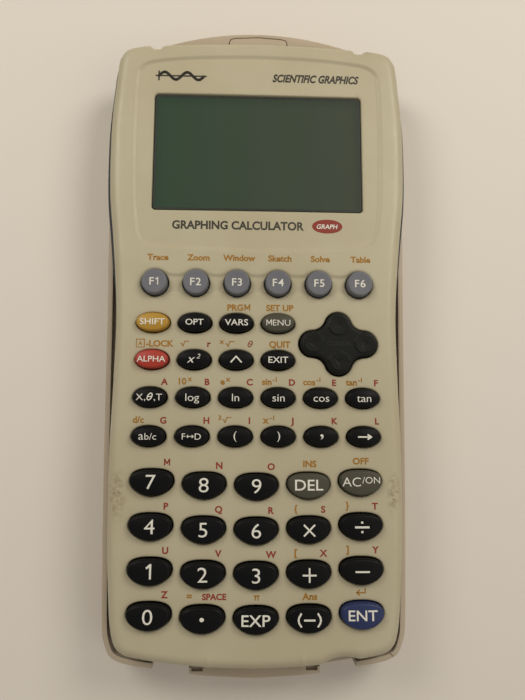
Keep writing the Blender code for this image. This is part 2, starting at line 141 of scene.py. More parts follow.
def spline(points, steps):
    """A Catmull-Rom curve through the points, without its last point."""
    made = []
    for i in range(len(points) - 1):
        p0 = Vector(points[max(i - 1, 0)])
        p1, p2 = Vector(points[i]), Vector(points[i + 1])
        p3 = Vector(points[min(i + 2, len(points) - 1)])
        for step in range(steps):
            t = step / steps
            bend = (2 * p0 - 5 * p1 + 4 * p2 - p3) * t * t
            twist = (3 * p1 - p0 - 3 * p2 + p3) * t**3
            made.append(tuple((2 * p1 + (p2 - p0) * t + bend + twist) / 2))
    return made


def mirrored(half, steps):
    """A closed anticlockwise outline from its right half, top to bottom."""
    right = spline(half, steps) + [half[-1]]
    left = [(-x, y) for x, y in right[1:-1]]
    return np.array(left + right[::-1], float)


def resampled(points, count):
    """The closed outline with count evenly spaced points."""
    closed = np.vstack([points, points[:1]])
    lengths = np.hypot(*np.diff(closed, axis=0).T)
    along = np.concatenate([[0], np.cumsum(lengths)])
    at = np.linspace(0, along[-1], count, endpoint=False)
    return np.stack([np.interp(at, along, closed[:, k]) for k in (0, 1)], 1)


def grown(points, distance):
    """The outline moved outwards by distance, or inwards if it is negative."""
    along = np.roll(points, -1, 0) - np.roll(points, 1, 0)
    along /= np.hypot(*along.T)[:, None]
    return points + distance * np.stack([along[:, 1], -along[:, 0]], 1)


def power_curve(angles, power):
    c, s = np.cos(angles), np.sin(angles)
    x = np.sign(c) * np.abs(c) ** (2 / power)
    y = np.sign(s) * np.abs(s) ** (2 / power)
    return x, y


def oval(size, power=2.1, count=72):
    """A superellipse; power 2 is an ellipse, and a higher one is squarer."""
    x, y = power_curve(np.linspace(0, 2 * math.pi, 720, endpoint=False), power)
    return resampled(np.stack([x * size[0] / 2, y * size[1] / 2], 1), count)


def shield(size, count=84):
    """A number key: flat-arched above its widest line and deeply curved below it."""
    above, below = size[1] * 0.43, size[1] * 0.57
    angles = np.linspace(0, 2 * math.pi, 720, endpoint=False)
    top_x, top_y = power_curve(angles, 2.55)
    low_x, low_y = power_curve(angles, 1.9)
    upper = angles < math.pi
    x = np.where(upper, top_x, low_x) * size[0] / 2
    y = np.where(upper, top_y * above, low_y * below) + (below - above) / 2
    return resampled(np.stack([x, y], 1), count)


def rounded(size, corner, count=160):
    """A rectangle about the origin with round corners."""
    made = []
    for quarter in range(4):
        side_x = 1 if quarter in (0, 3) else -1
        side_y = 1 if quarter < 2 else -1
        for angle in np.linspace(math.pi / 2 * quarter, math.pi / 2 * (quarter + 1), 9):
            x = side_x * (size[0] / 2 - corner) + corner * math.cos(angle)
            y = side_y * (size[1] / 2 - corner) + corner * math.sin(angle)
            made.append((x, y))
    return resampled(np.array(made), count) if count else np.array(made)


# Cursor pad: reach of its side and end lobes, radius of a lobe and of the hollows between them
PAD_SIDE, PAD_END = 6.9, 4.95
PAD_LOBE = 3.3
PAD_WAIST = 4.0
PAD_LOBES = [(PAD_SIDE, 0.0), (-PAD_SIDE, 0.0), (0.0, PAD_END), (0.0, -PAD_END)]


def arc(centre, radius, first, last, steps=16):
    angles = np.linspace(first, last, steps)
    return [(centre[0] + radius * math.cos(a), centre[1] + radius * math.sin(a)) for a in angles]


def clover(count=160):
    """The cursor pad: four round lobes, joined by hollow curves that meet them smoothly."""
    span = math.hypot(PAD_SIDE, PAD_END) / 2
    reach = math.sqrt((PAD_LOBE + PAD_WAIST) ** 2 - span**2)
    hollow = (
        PAD_SIDE / 2 + reach * PAD_END / 2 / span,
        PAD_END / 2 + reach * PAD_SIDE / 2 / span,
    )
    from_side = math.atan2(hollow[1], hollow[0] - PAD_SIDE)
    from_end = math.atan2(hollow[1] - PAD_END, hollow[0])
    quarter = arc((PAD_SIDE, 0), PAD_LOBE, 0, from_side)
    quarter += arc(hollow, PAD_WAIST, from_side - math.pi, from_end - math.pi)[1:-1]
    quarter += arc((0, PAD_END), PAD_LOBE, from_end, math.pi / 2)
    upper = quarter + [(-x, y) for x, y in quarter[-2::-1]]
    return resampled(np.array(upper + [(x, -y) for x, y in upper[-2:0:-1]]), count)


def cap_outline(name):
    """The plan of a key's cap, from the size of its CAD node without the flange."""
    low, high = box_mm(f"key_{name}")
    size = (high.x - low.x - 2 * KEY_FLANGE, high.y - low.y - 2 * KEY_FLANGE)
    if name in F_NAMES:
        return oval(size, 2.0)
    return shield(size) if name in LARGE_NAMES else oval(size)


def smooth_step(value, low, high):
    t = np.clip((value - low) / (high - low), 0, 1)
    return t * t * (3 - 2 * t)


def inside_distance(points, outline):
    """Signed distance of points to a closed outline, positive inside."""
    start, end = outline, np.roll(outline, -1, 0)
    edge = end - start
    best = np.full(len(points), 1e9)
    inside = np.zeros(len(points), bool)
    squared = (edge**2).sum(1)
    for i in range(len(start)):
        offset = points - start[i]
        t = np.clip(offset @ edge[i] / squared[i], 0, 1)
        best = np.minimum(best, ((offset - t[:, None] * edge[i]) ** 2).sum(1))
        crosses = (start[i, 1] > points[:, 1]) != (end[i, 1] > points[:, 1])
        if edge[i, 1]:
            x_at = start[i, 0] + (points[:, 1] - start[i, 1]) * edge[i, 0] / edge[i, 1]
            inside ^= crosses & (points[:, 0] < x_at)
    return np.where(inside, 1, -1) * np.sqrt(best)


# ---------------------------------------------------------------- materials


def material(name, colour, roughness=0.5, metallic=0.0, coat=0.0, **sockets):
    made = bpy.data.materials.new(name)
    made.use_nodes = True
    shader = made.node_tree.nodes["Principled BSDF"]
    shader.inputs["Base Color"].default_value = (*colour, 1)
    shader.inputs["Roughness"].default_value = roughness
    shader.inputs["Metallic"].default_value = metallic
    shader.inputs["Coat Weight"].default_value = coat
    for socket, value in sockets.items():
        shader.inputs[socket.replace("_", " ")].default_value = value
    return made


def add(made, kind, **inputs):
    node = made.node_tree.nodes.new(kind)
    for key, value in inputs.items():
        node.inputs[key.replace("_", " ")].default_value = value
    return node


def link(made, source, target):
    made.node_tree.links.new(source, target)


def noise(made, scale, detail=3.0, rough=0.5):
    """Noise over the object's own coordinates; scale is in waves per metre."""
    place = add(made, "ShaderNodeTexCoord")
    texture = add(made, "ShaderNodeTexNoise", Scale=scale, Detail=detail, Roughness=rough)
    link(made, place.outputs["Object"], texture.inputs["Vector"])
    return texture.outputs["Fac"]


def ranged(made, value, low, high, to_low, to_high):
    node = add(made, "ShaderNodeMapRange")
    link(made, value, node.inputs["Value"])
    for key, number in (
        ("From Min", low), ("From Max", high), ("To Min", to_low), ("To Max", to_high)
    ):
        node.inputs[key].default_value = number
    return node.outputs["Result"]


def blended(made, factor, first, second):
    """A colour between two, each a colour or another node's output."""
    node = made.node_tree.nodes.new("ShaderNodeMix")
    node.data_type = "RGBA"
    link(made, factor, node.inputs[0])
    for socket, colour in ((node.inputs[6], first), (node.inputs[7], second)):
        if isinstance(colour, tuple):
            socket.default_value = (*colour, 1)
        else:
            link(made, colour, socket)
    return node.outputs[2]


CLOUD_SCALE, GLOSS_SCALE, GRAIN_SCALE = 38, 260, 5200
GLOSS_SPREAD = 0.05


def plastic(name, colour, second, roughness, grain=0.04, specular=0.5):
    """Moulded plastic: two close tones in soft clouds, spark-eroded grain, uneven gloss."""
    made = material(name, colour, roughness, Specular_IOR_Level=specular)
    shader = made.node_tree.nodes["Principled BSDF"]
    clouds = ranged(made, noise(made, CLOUD_SCALE, 4.0, 0.6), 0.35, 0.65, 0, 1)
    link(made, blended(made, clouds, colour, second), shader.inputs["Base Color"])
    fine = noise(made, GRAIN_SCALE, 2.0, 0.6)
    low, high = roughness - GLOSS_SPREAD, roughness + GLOSS_SPREAD
    gloss = ranged(made, noise(made, GLOSS_SCALE, 3.0), 0.3, 0.7, low, high)
    link(made, gloss, shader.inputs["Roughness"])
    bump = add(made, "ShaderNodeBump", Strength=grain, Distance=0.0002)
    link(made, fine, bump.inputs["Height"])
    link(made, bump.outputs["Normal"], shader.inputs["Normal"])
    return made


CREAM = (0.475, 0.43, 0.295)
CREAM_AGED = (0.445, 0.394, 0.262)
CREAM_DIRTY = (0.20, 0.145, 0.08)


def spot(made, centre, size):
    """1 at a place on the object, fading to 0 over an ellipsoid of that size in mm."""
    place = add(made, "ShaderNodeTexCoord")
    mapping = made.node_tree.nodes.new("ShaderNodeMapping")
    mapping.vector_type = "TEXTURE"
    mapping.inputs["Location"].default_value = [v * MM for v in centre]
    mapping.inputs["Scale"].default_value = [v * MM for v in size]
    link(made, place.outputs["Object"], mapping.inputs["Vector"])
    gradient = made.node_tree.nodes.new("ShaderNodeTexGradient")
    gradient.gradient_type = "SPHERICAL"
    link(made, mapping.outputs["Vector"], gradient.inputs["Vector"])
    return gradient.outputs["Fac"]


def times(made, first, second):
    node = made.node_tree.nodes.new("ShaderNodeMath")
    node.operation = "MULTIPLY"
    for socket, value in zip(node.inputs, (first, second)):
        if isinstance(value, float):
            socket.default_value = value
        else:
            link(made, value, socket)
    return node.outputs[0]


# Dirty patches where hands hold the shell: (centre, size) in mm
STAINS = [((-35.3, -42.5, TOP), (2.6, 7.5, 4.0)), ((35.6, -42.0, TOP), (2.4, 6.5, 4.0))]


def shell_plastic():
    """The cream of the front shell, with the grip stains that its sides have."""
    made = plastic("shell_cream", CREAM, CREAM_AGED, 0.42, 0.05)
    shader = made.node_tree.nodes["Principled BSDF"]
    colour = shader.inputs["Base Color"].links[0].from_socket
    for centre, size in STAINS:
        streaks = ranged(made, noise(made, 700, 4.0, 0.7), 0.44, 0.6, 0.0, 1.0)
        colour = blended(made, times(made, spot(made, centre, size), streaks), colour, CREAM_DIRTY)
    link(made, colour, shader.inputs["Base Color"])
    return made


# Look: name, two close tones, roughness, grain and, where it isn't 0.5, specular level
PLASTICS = {
    "cover": ("cover_cream", (0.52, 0.435, 0.325), (0.49, 0.405, 0.295), 0.46, 0.05, 0.4),
    "door": ("door_cream", (0.465, 0.382, 0.275), (0.44, 0.36, 0.255), 0.46, 0.05, 0.4),
    "pad_ink": ("pad_ink", (0.018, 0.019, 0.018), (0.016, 0.017, 0.016), 0.6, 0.02, 0.2),
    "case": ("case_charcoal", (0.036, 0.036, 0.05), (0.03, 0.03, 0.043), 0.5, 0.08, 0.4),
    "black": ("key_black", (0.0042, 0.0042, 0.0048), (0.0034, 0.0034, 0.004), 0.42, 0.03, 0.13),
    "grey": ("key_grey", (0.073, 0.069, 0.05), (0.066, 0.062, 0.044), 0.42, 0.03, 0.2),
    "lavender": ("key_lavender", (0.155, 0.157, 0.176), (0.142, 0.144, 0.162), 0.42, 0.03, 0.25),
    "ochre": ("key_ochre", (0.43, 0.245, 0.03), (0.40, 0.225, 0.027), 0.42, 0.03, 0.35),
    "red": ("key_red", (0.40, 0.04, 0.024), (0.37, 0.036, 0.022), 0.42, 0.03, 0.35),
    "blue": ("key_blue", (0.023, 0.034, 0.11), (0.02, 0.03, 0.097), 0.4, 0.03, 0.3),
    "pad": ("pad_black", (0.0095, 0.0102, 0.0092), (0.008, 0.0087, 0.0078), 0.48, 0.05, 0.16),
    "white_ink": ("ink_white", (0.74, 0.72, 0.64), (0.70, 0.68, 0.60), 0.5, 0.02, 0.3),
    "dark_ink": ("ink_dark", (0.04, 0.035, 0.026), (0.05, 0.045, 0.035), 0.5, 0.02, 0.3),
    "orange_ink": ("ink_orange", (0.35, 0.17, 0.02), (0.31, 0.15, 0.018), 0.5, 0.02, 0.3),
    "red_ink": ("ink_red", (0.27, 0.042, 0.026), (0.24, 0.036, 0.024), 0.5, 0.02, 0.3),
    "silicone": ("silicone", (0.36, 0.36, 0.34), (0.32, 0.32, 0.30), 0.65, 0.05),
    "jacket": ("cell_jacket", (0.03, 0.035, 0.05), (0.035, 0.04, 0.055), 0.3, 0.01),
    "band": ("cell_band", (0.62, 0.36, 0.10), (0.60, 0.34, 0.09), 0.28, 0.01),
    "board": ("solder_mask", (0.02, 0.11, 0.045), (0.015, 0.085, 0.035), 0.4, 0.05),
    # Dark plastic of the LCD's holder, also used for the window's dark frame, which is painted
    # shade
    "lcd_border_and_painted_shade": ("lcd_border_and_painted_shade", (0.012, 0.014, 0.011), (0.010, 0.012, 0.009), 0.45, 0.02),
}
MATERIALS = {}


def make_materials():
    for look, values in PLASTICS.items():
        MATERIALS[look] = plastic(*values)
    MATERIALS["steel"] = material("steel", (0.55, 0.55, 0.53), 0.3, 1.0)
    MATERIALS["shell"] = shell_plastic()
    MATERIALS["window"] = window_material()
    MATERIALS["lcd"] = lcd_material()


def across_display(made, left, right):
    """A colour that changes evenly from the display's left edge to its right edge."""
    place = add(made, "ShaderNodeTexCoord")
    split = made.node_tree.nodes.new("ShaderNodeSeparateXYZ")
    link(made, place.outputs["Object"], split.inputs[0])
    half = OPENING[0] / 2 * MM
    return blended(made, ranged(made, split.outputs["X"], -half, half, 0, 1), left, right)


def window_material():
    """Acrylic tinted like an unlit display, with a little of the liquid crystal below showing."""
    made = material("window_acrylic", (0.07, 0.10, 0.07), 0.1, Alpha=0.6, IOR=1.49)
    shader = made.node_tree.nodes["Principled BSDF"]
    shader.inputs["Specular IOR Level"].default_value = 0.3
    tint = across_display(made, (0.054, 0.098, 0.062), (0.086, 0.104, 0.077))
    link(made, tint, shader.inputs["Base Color"])
    smears = ranged(made, noise(made, 90, 3.0), 0.3, 0.7, 0.06, 0.16)
    link(made, smears, shader.inputs["Roughness"])
    return made


def lcd_material():
    """The liquid crystal: green at the left, greyer at the right, in soft clouds."""
    made = material("liquid_crystal", (0.04, 0.062, 0.041), 0.5, Specular_IOR_Level=0.2)
    shader = made.node_tree.nodes["Principled BSDF"]
    base = across_display(made, (0.03, 0.062, 0.036), (0.052, 0.062, 0.046))
    clouds = ranged(made, noise(made, 30, 3.0), 0.3, 0.7, 0.0, 0.5)
    link(made, blended(made, clouds, base, (0.04, 0.056, 0.041)), shader.inputs["Base Color"])
    return made


# ---------------------------------------------------------------- mesh building

MERGE_DISTANCE = 2e-6  # in metres


def placed(name, data):
    """A new object in the scene for a mesh, text, light or camera."""
    obj = bpy.data.objects.new(name, data)
    bpy.context.scene.collection.objects.link(obj)
    return obj


def mended(data, merge=False):
    """Turns a mesh's faces outwards, joining vertices that coincide if merge is true."""
    mesh = bmesh.new()
    mesh.from_mesh(data)
    if merge:
        bmesh.ops.remove_doubles(mesh, verts=mesh.verts, dist=MERGE_DISTANCE)
    bmesh.ops.recalc_face_normals(mesh, faces=mesh.faces)
    mesh.to_mesh(data)
    mesh.free()


def softened(data, sharp_angle):
    """Smooth shading, except over edges sharper than the angle in degrees."""
    data.shade_smooth()
    data.set_sharp_from_angle(angle=math.radians(sharp_angle))


def new_piece(name, verts, faces, look, body, sharp_angle=40):
    """A mesh object from millimetre vertices, riding on a body."""
    data = bpy.data.meshes.new(name)
    data.from_pydata([tuple(np.asarray(v, float) * MM) for v in verts], [], faces)
    mended(data)
    softened(data, sharp_angle)
    data.materials.append(MATERIALS[look])
    obj = placed(name, data)
    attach(obj, body)
    return obj


def loft_mesh(rings, start_cap=True, end_cap=True):
    """Verts and faces through rings of equal size, each an (n, 3) array."""
    count = len(rings[0])
    verts = np.vstack(rings)
    faces = []
    for level in range(len(rings) - 1):
        a, b = level * count, (level + 1) * count
        for i in range(count):
            j = (i + 1) % count
            faces.append((a + i, a + j, b + j, b + i))
    if start_cap:
        faces.append(tuple(range(count))[::-1])
    if end_cap:
        faces.append(tuple(range((len(rings) - 1) * count, len(rings) * count)))
    return verts, faces


def ring(outline, height):
    height = np.broadcast_to(np.asarray(height, float), (len(outline),))
    return np.column_stack([outline, height])


def rounded_top(outline, top, radius, steps=6):
    """Rings for a top edge of that radius, from the outside in."""
    rings = []
    for step in range(steps + 1):
        angle = math.pi / 2 * step / steps
        inset = radius * (1 - math.cos(angle))
        rings.append(ring(grown(outline, -inset), top - radius * (1 - math.sin(angle))))
    return rings


def closed_with_fan(verts, faces, rings_count, count, apex):
    """Closes the last ring with a fan to an apex."""
    start = (rings_count - 1) * count
    verts = np.vstack([verts, [apex]])
    tip = len(verts) - 1
    faces += [(start + i, start + (i + 1) % count, tip) for i in range(count)]
    return verts, faces


# ---------------------------------------------------------------- front shell


SHELL_SHARP_ANGLE = 50
NOTCH = (27.5, 30.2)  # from and to, either side of the middle
NOTCH_ROUND = 0.3
NOTCH_DEPTH = 1.0
SCALLOP_HALF_WIDTH = 5.0
SCALLOP_DEPTH = 1.2
SCALLOP_POWER = 1.2
CHANNEL_REACH = -4.0  # the channel's swell is not worked out beyond this
SIDE_FALL = 0.25  # of the face, from the middle to the widest point
HALF_WIDTH = 41.0
RIDGE_X, RIDGE_WIDTH, RIDGE_HEIGHT = 11.7, 0.45, 0.35
RIDGE_START = (79.8, 81.2)  # the ridges rise towards the bottom edge between these


def shell_outline():
    """The shell's plan with the notches beside the door and the scallop over the socket."""
    outline = resampled(mirrored(SHELL_HALF, 24), 1300)
    x, y = outline.T
    rise = smooth_step(abs(x), NOTCH[0], NOTCH[0] + NOTCH_ROUND)
    fall = smooth_step(abs(x), NOTCH[1] - NOTCH_ROUND, NOTCH[1])
    y = y - NOTCH_DEPTH * rise * (1 - fall) * (y > 0)
    scallop = np.clip(1 - ((x - SOCKET.x) / SCALLOP_HALF_WIDTH) ** 2, 0, 1) ** SCALLOP_POWER
    y = y + SCALLOP_DEPTH * scallop * (y < -60)
    return np.stack([x, y], 1)


OUTLINE = shell_outline()
PANEL = resampled(mirrored(PANEL_HALF, 24), 420)
F_PLACES = [centre_mm(f"key_{name}") for name in F_NAMES]


def shell_height(points):
    """Height of the shell's face at (x, y) points: rim, recessed panel, channel and ridges."""
    points = np.asarray(points, float)
    x, y = points.T
    depth = np.clip(inside_distance(points, OUTLINE[::2]), 0, None)
    near = np.clip(1 - depth / RIM_RADIUS, 0, 1)
    z = TOP - RIM_RADIUS * (1 - np.sqrt(np.clip(1 - near**2, 0, 1)))
    z -= SIDE_FALL * (x / HALF_WIDTH) ** 2
    z -= PANEL_DEPTH * smooth_step(inside_distance(points, PANEL[::2]), *PANEL_EDGE)
    row = F_PLACES[0].y
    in_row = abs(x) < abs(F_PLACES[0].x)
    between = np.where(in_row, CHANNEL_HALF - abs(y - row), CHANNEL_REACH)
    swell = np.exp(between / CHANNEL_BLEND)
    for place in F_PLACES:
        around = CHANNEL_ROUND - np.hypot(x - place.x, y - place.y)
        around = np.maximum(around, CHANNEL_REACH)
        swell += np.exp(around / CHANNEL_BLEND)
    z -= CHANNEL_DEPTH * smooth_step(CHANNEL_BLEND * np.log(swell), 0.0, 1.0)
    for side in (-1, 1):
        ridge = np.exp(-(((x - side * RIDGE_X) / RIDGE_WIDTH) ** 2))
        z += RIDGE_HEIGHT * ridge * smooth_step(-y, *RIDGE_START)
    return z


def hole_outlines():
    """Every opening in the shell's plate, as outlines in the frame."""
    holes = []
    for name in F_NAMES + SMALL_NAMES + LARGE_NAMES:
        place = centre_mm(f"key_{name}")
        holes.append(grown(cap_outline(name), KEY_GAP) + (place.x, place.y))
    holes.append(grown(clover(), PAD_GAP) + (PAD.x, PAD.y))
    holes.append(rounded(OPENING, WINDOW_CORNER, 300) + (WINDOW_CENTRE.x, WINDOW_CENTRE.y))
    return holes


def triangulated(loops, loose):
    """Delaunay triangles of the region inside loops[0] and outside the other loops.

    Returns the vertices, the triangles and, for each loop, the numbers of its vertices.
    """
    points, edges = [], []
    for loop in loops:
        first = len(points)
        count = len(loop)
        points += [tuple(p) for p in loop]
        edges += [(first + i, first + (i + 1) % count) for i in range(count)]
    points += [tuple(p) for p in loose]
    result = delaunay_2d_cdt([Vector(p) for p in points], edges, [], 0, 1e-5, True)
    verts = np.array([tuple(v) for v in result[0]])
    made_from = {source: i for i, sources in enumerate(result[3]) for source in sources}
    starts = np.cumsum([0] + [len(loop) for loop in loops])
    numbers = [[made_from[i] for i in range(a, b)] for a, b in zip(starts, starts[1:])]
    faces = np.array([f for f in result[2] if len(f) == 3])
    middles = verts[faces].mean(1)
    keep = inside_distance(middles, loops[0]) > 0
    for loop in loops[1:]:
        low, high = loop.min(0), loop.max(0)
        close = np.all((middles > low) & (middles < high), 1)
        found = np.where(close)[0]
        keep[found[inside_distance(middles[found], loop) > 0]] = False
    return verts, faces[keep], numbers


def face_points(holes):
    """Loose points for the shell's face: rings that follow each edge, and a grid between."""
    loose = [grown(OUTLINE, -d)[::2] for d in (0.12, 0.4, 0.8, 1.3, 1.9, 2.5, 3.1)]
    loose += [grown(PANEL, d) for d in (-1.0, -0.7, -0.4, -0.1, 0.2, 0.5, 0.8, 1.1)]
    for hole in holes:
        loose += [grown(hole, 0.12), grown(hole, 0.32), grown(hole, 0.7)[::2]]
    xs, ys = np.arange(-41, 41, 1.3), np.arange(-86, 84.5, 1.3)
    loose.append(np.array([(x + 0.65 * (j % 2), y) for j, y in enumerate(ys) for x in xs]))
    row = F_PLACES[0].y
    band = [(x, y) for y in np.arange(row - 5, row + 5.1, 0.3) for x in np.arange(-32.3, 32.4, 0.4)]
    loose.append(np.array(band))
    points = np.vstack(loose)
    keep = inside_distance(points, OUTLINE[::2]) > 0.08
    for hole in holes:
        low, high = hole.min(0) - 0.1, hole.max(0) + 0.1
        close = np.where(np.all((points > low) & (points < high), 1))[0]
        keep[close[inside_distance(points[close], hole) > -0.08]] = False
    points = points[keep]
    cell = np.round(points / 0.11).astype(int)
    return points[np.unique(cell, axis=0, return_index=True)[1]]


def fillet(points, holes, radius=0.35):
    """How far the face rounds down at the edge of each hole."""
    drop = np.zeros(len(points))
    for hole in holes:
        low, high = hole.min(0) - radius, hole.max(0) + radius
        close = np.where(np.all((points > low) & (points < high), 1))[0]
        away = np.clip(-inside_distance(points[close], hole), 0, radius)
        drop[close] = radius - np.sqrt(np.clip(radius**2 - (radius - away) ** 2, 0, None))
    return drop


def front_shell():
    holes = hole_outlines()
    flat, triangles, loops = triangulated([OUTLINE] + holes, face_points(holes))
    lift = shell_height(flat) - fillet(flat, holes)
    verts = [tuple(v) for v in np.column_stack([flat, lift])]
    faces = [tuple(int(i) for i in f) for f in triangles]

    def extrude(above, levels):
        """Walls from a loop on the face down through (outline, height) levels."""
        for outline, height in levels:
            below = list(range(len(verts), len(verts) + len(outline)))
            verts.extend((p[0], p[1], height) for p in outline)
            for i in range(len(outline)):
                j = (i + 1) % len(outline)
                faces.append((above[i], below[i], below[j], above[j]))
            above = below

    wall = grown(OUTLINE, -1.6)
    rim = grown(OUTLINE, -0.25)
    extrude(loops[0], [(OUTLINE, PARTING + 0.25), (rim, PARTING), (wall, PARTING), (wall, PLATE)])
    for hole, loop in zip(holes, loops[1:]):
        extrude(loop, [(hole, PLATE)])
    under, under_faces, _ = triangulated([wall] + holes, np.zeros((0, 2)))
    start = len(verts)
    verts.extend((x, y, PLATE) for x, y in under)
    faces.extend(tuple(int(i) + start for i in f[::-1]) for f in under_faces)
    shell = new_piece("front_shell_fine", verts, faces, "shell", MAIN, SHELL_SHARP_ANGLE)
    mended(shell.data, merge=True)
    softened(shell.data, SHELL_SHARP_ANGLE)
    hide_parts("front_shell")


# ---------------------------------------------------------------- keys

KEY_LOOKS = {
    "shift": "ochre", "alpha": "red", "menu": "grey", "delete": "grey", "on": "grey",
    "enter": "blue",
}
CAP_FILLET = 0.75


def cap_crown(name):
    """Rise of a cap's top from its shoulder to its middle; the round keys are dished."""
    return -0.12 if name in F_NAMES else 0.3


def cap_height(name, spread):
    """Height of a cap's top; spread is 0 in the middle and 1 at the shoulder."""
    crown = cap_crown(name)
    shoulder = KEY_TOP - max(crown, 0) - 0.02
    return shoulder + crown * (1 - np.asarray(spread) ** 2)


def cap(name):
    place = centre_mm(f"key_{name}")
    outline = cap_outline(name)
    bottom = KEY_FLANGE_LOW.z
    fillet_radius = 0.45 if name in F_NAMES else CAP_FILLET
    shoulder = float(cap_height(name, 1.0))
    rings = [
        ring(grown(outline, KEY_FLANGE), bottom),
        ring(grown(outline, KEY_FLANGE), bottom + 1.0),
        ring(outline, bottom + 1.05),
    ]
    rings += rounded_top(outline, shoulder, fillet_radius)
    top = rings[-1][:, :2]
    for spread in (0.85, 0.68, 0.5, 0.32, 0.15):
        rings.append(ring(top * spread, cap_height(name, spread)))
    verts, faces = loft_mesh(rings, end_cap=False)
    apex = (0, 0, float(cap_height(name, 0.0)))
    verts, faces = closed_with_fan(verts, faces, len(rings), len(outline), apex)
    verts = verts + (place.x, place.y, 0)
    look = KEY_LOOKS.get(name, "lavender" if name in F_NAMES else "black")
    piece = new_piece(f"cap_{name}", verts, faces, look, f"key_{name}")
    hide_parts(f"key_{name}")


# ---------------------------------------------------------------- lettering

CAPITAL = 0.73  # height of the built-in font's capitals at size 1
THIN, FIRM, BOLD = -0.004, 0.008, 0.034  # how much the font's strokes are thickened


def glyphs(text, bold, spacing, shear):
    """The built-in font's outline of a text as (points, polygons) at size 1."""
    curve = bpy.data.curves.new("text", "FONT")
    curve.body = text
    curve.size = 1.0
    curve.offset = bold
    curve.space_character = spacing
    curve.shear = shear
    curve.resolution_u = 4
    obj = placed("text", curve)
    bpy.context.view_layer.update()
    evaluated = obj.evaluated_get(bpy.context.evaluated_depsgraph_get())
    mesh = bpy.data.meshes.new_from_object(evaluated)
    points = np.array([v.co[:2] for v in mesh.vertices])
    shapes = [tuple(p.vertices) for p in mesh.polygons]
    bpy.data.objects.remove(obj)
    bpy.data.curves.remove(curve)
    bpy.data.meshes.remove(mesh)
    return points, shapes


def lettering(parts, size, bold=0.02, spacing=1.0, shear=0.0, stretch=1.0):
    """Flat text: parts are set side by side, each a text, a drawing from strokes(), or
    (text or drawing, relative size, rise).

    Returns (verts, faces) centred on the origin, in mm, where size is the capitals' height.
    """
    verts, faces, pen = [], [], 0.0
    for part in parts:
        bare = isinstance(part, str) or len(part) == 2
        text, relative, rise = (part, 1.0, 0.0) if bare else part
        if isinstance(text, str):
            points, shapes = glyphs(text, bold, spacing, shear)
            points = points * (stretch * relative * size / CAPITAL, relative * size / CAPITAL)
        else:
            points, shapes = text
            points = points * (relative * size)
        left = points[:, 0].min()
        first = len(verts)
        verts += [(x - left + pen, y + rise * size) for x, y in points]
        faces += [tuple(first + i for i in shape) for shape in shapes]
        pen += points[:, 0].max() - left + 0.16 * size
    verts = np.array(verts)
    verts[:, 0] -= (verts[:, 0].min() + verts[:, 0].max()) / 2
    verts[:, 1] -= size / 2
    return verts, faces


def plain(text, size, **style):
    return lettering([text], size, **style)


def strokes(lines, width):
    """Polylines drawn with a pen of that width, as (points, polygons)."""
    points, shapes = [], []
    for line in lines:
        for (x0, y0), (x1, y1) in zip(line, line[1:]):
            along = Vector((x1 - x0, y1 - y0)).normalized() * width / 2
            side = Vector((-along.y, along.x))
            first = len(points)
            points += [
                (x0 - along.x * 0.7 - side.x, y0 - along.y * 0.7 - side.y),
                (x1 + along.x * 0.7 - side.x, y1 + along.y * 0.7 - side.y),
                (x1 + along.x * 0.7 + side.x, y1 + along.y * 0.7 + side.y),
                (x0 - along.x * 0.7 + side.x, y0 - along.y * 0.7 + side.y),
            ]
            shapes.append((first, first + 1, first + 2, first + 3))
    return np.array(points), shapes


def letter_m(width=0.15):
    return strokes([[(-0.36, 0.07), (-0.36, 0.93), (0.0, 0.3), (0.36, 0.93), (0.36, 0.07)]], width)


def digit_one():
    return strokes([[(-0.14, 0.72), (0.1, 0.92), (0.1, 0.06)]], 0.13)


def letter_pi():
    roof = [(-0.4, 0.68), (0.4, 0.68)]
    legs = [[(-0.16, 0.66), (-0.24, 0.1)], [(0.2, 0.66), (0.22, 0.1)]]
    return strokes([roof, *legs], 0.17)


def root_sign():
    return strokes([[(-0.55, 0.5), (-0.35, 0.45), (-0.15, 0.08), (0.1, 0.85), (0.75, 0.85)]], 0.15)


def theta():
    """A slanted theta of height 1."""
    angles = np.linspace(0, 2 * math.pi, 17)
    loop = [(0.30 * math.cos(a) + 0.16 * math.sin(a), 0.5 + 0.46 * math.sin(a)) for a in angles]
    return strokes([loop, [(-0.26, 0.5), (0.26, 0.5)]], 0.14)


def double_arrow():
    head = 0.2
    shaft = [(-0.5, 0.48), (0.5, 0.48)]
    left = [(-0.5 + head, 0.48 + head), (-0.5, 0.48), (-0.5 + head, 0.48 - head)]
    right = [(-x, y) for x, y in left]
    return strokes([shaft, left, right], 0.11)


def return_arrow():
    shaft = [(0.6, 0.9), (0.6, 0.4), (-0.4, 0.4)]
    head = [(-0.1, 0.7), (-0.45, 0.4), (-0.1, 0.1)]
    return strokes([shaft, head], 0.16)


def boxed_a():
    points, shapes = glyphs("A", 0.02, 1.0, 0.0)
    middle = (points.min(0) + points.max(0)) / 2
    points = (points - middle) * 0.95 + (0, 0.5)
    frame = [(-0.62, -0.12), (0.62, -0.12), (0.62, 1.12), (-0.62, 1.12), (-0.62, -0.12)]
    box, sides = strokes([frame], 0.13)
    return np.vstack([points, box]), shapes + [tuple(len(points) + i for i in f) for f in sides]


def refined(verts, faces, longest=0.7):
    """The flat shapes as triangles whose edges are short enough to drape over a curved face."""
    mesh = bmesh.new()
    made = [mesh.verts.new((x, y, 0)) for x, y in verts]
    for face in faces:
        mesh.faces.new([made[i] for i in face])
    bmesh.ops.triangulate(mesh, faces=mesh.faces)
    for _ in range(3):
        long_edges = [edge for edge in mesh.edges if edge.calc_length() > longest]
        bmesh.ops.subdivide_edges(mesh, edges=long_edges, cuts=1)
        bmesh.ops.triangulate(mesh, faces=mesh.faces)
    mesh.verts.index_update()
    points = np.array([v.co[:2] for v in mesh.verts])
    shapes = [tuple(v.index for v in face.verts) for face in mesh.faces]
    mesh.free()
    return points, shapes


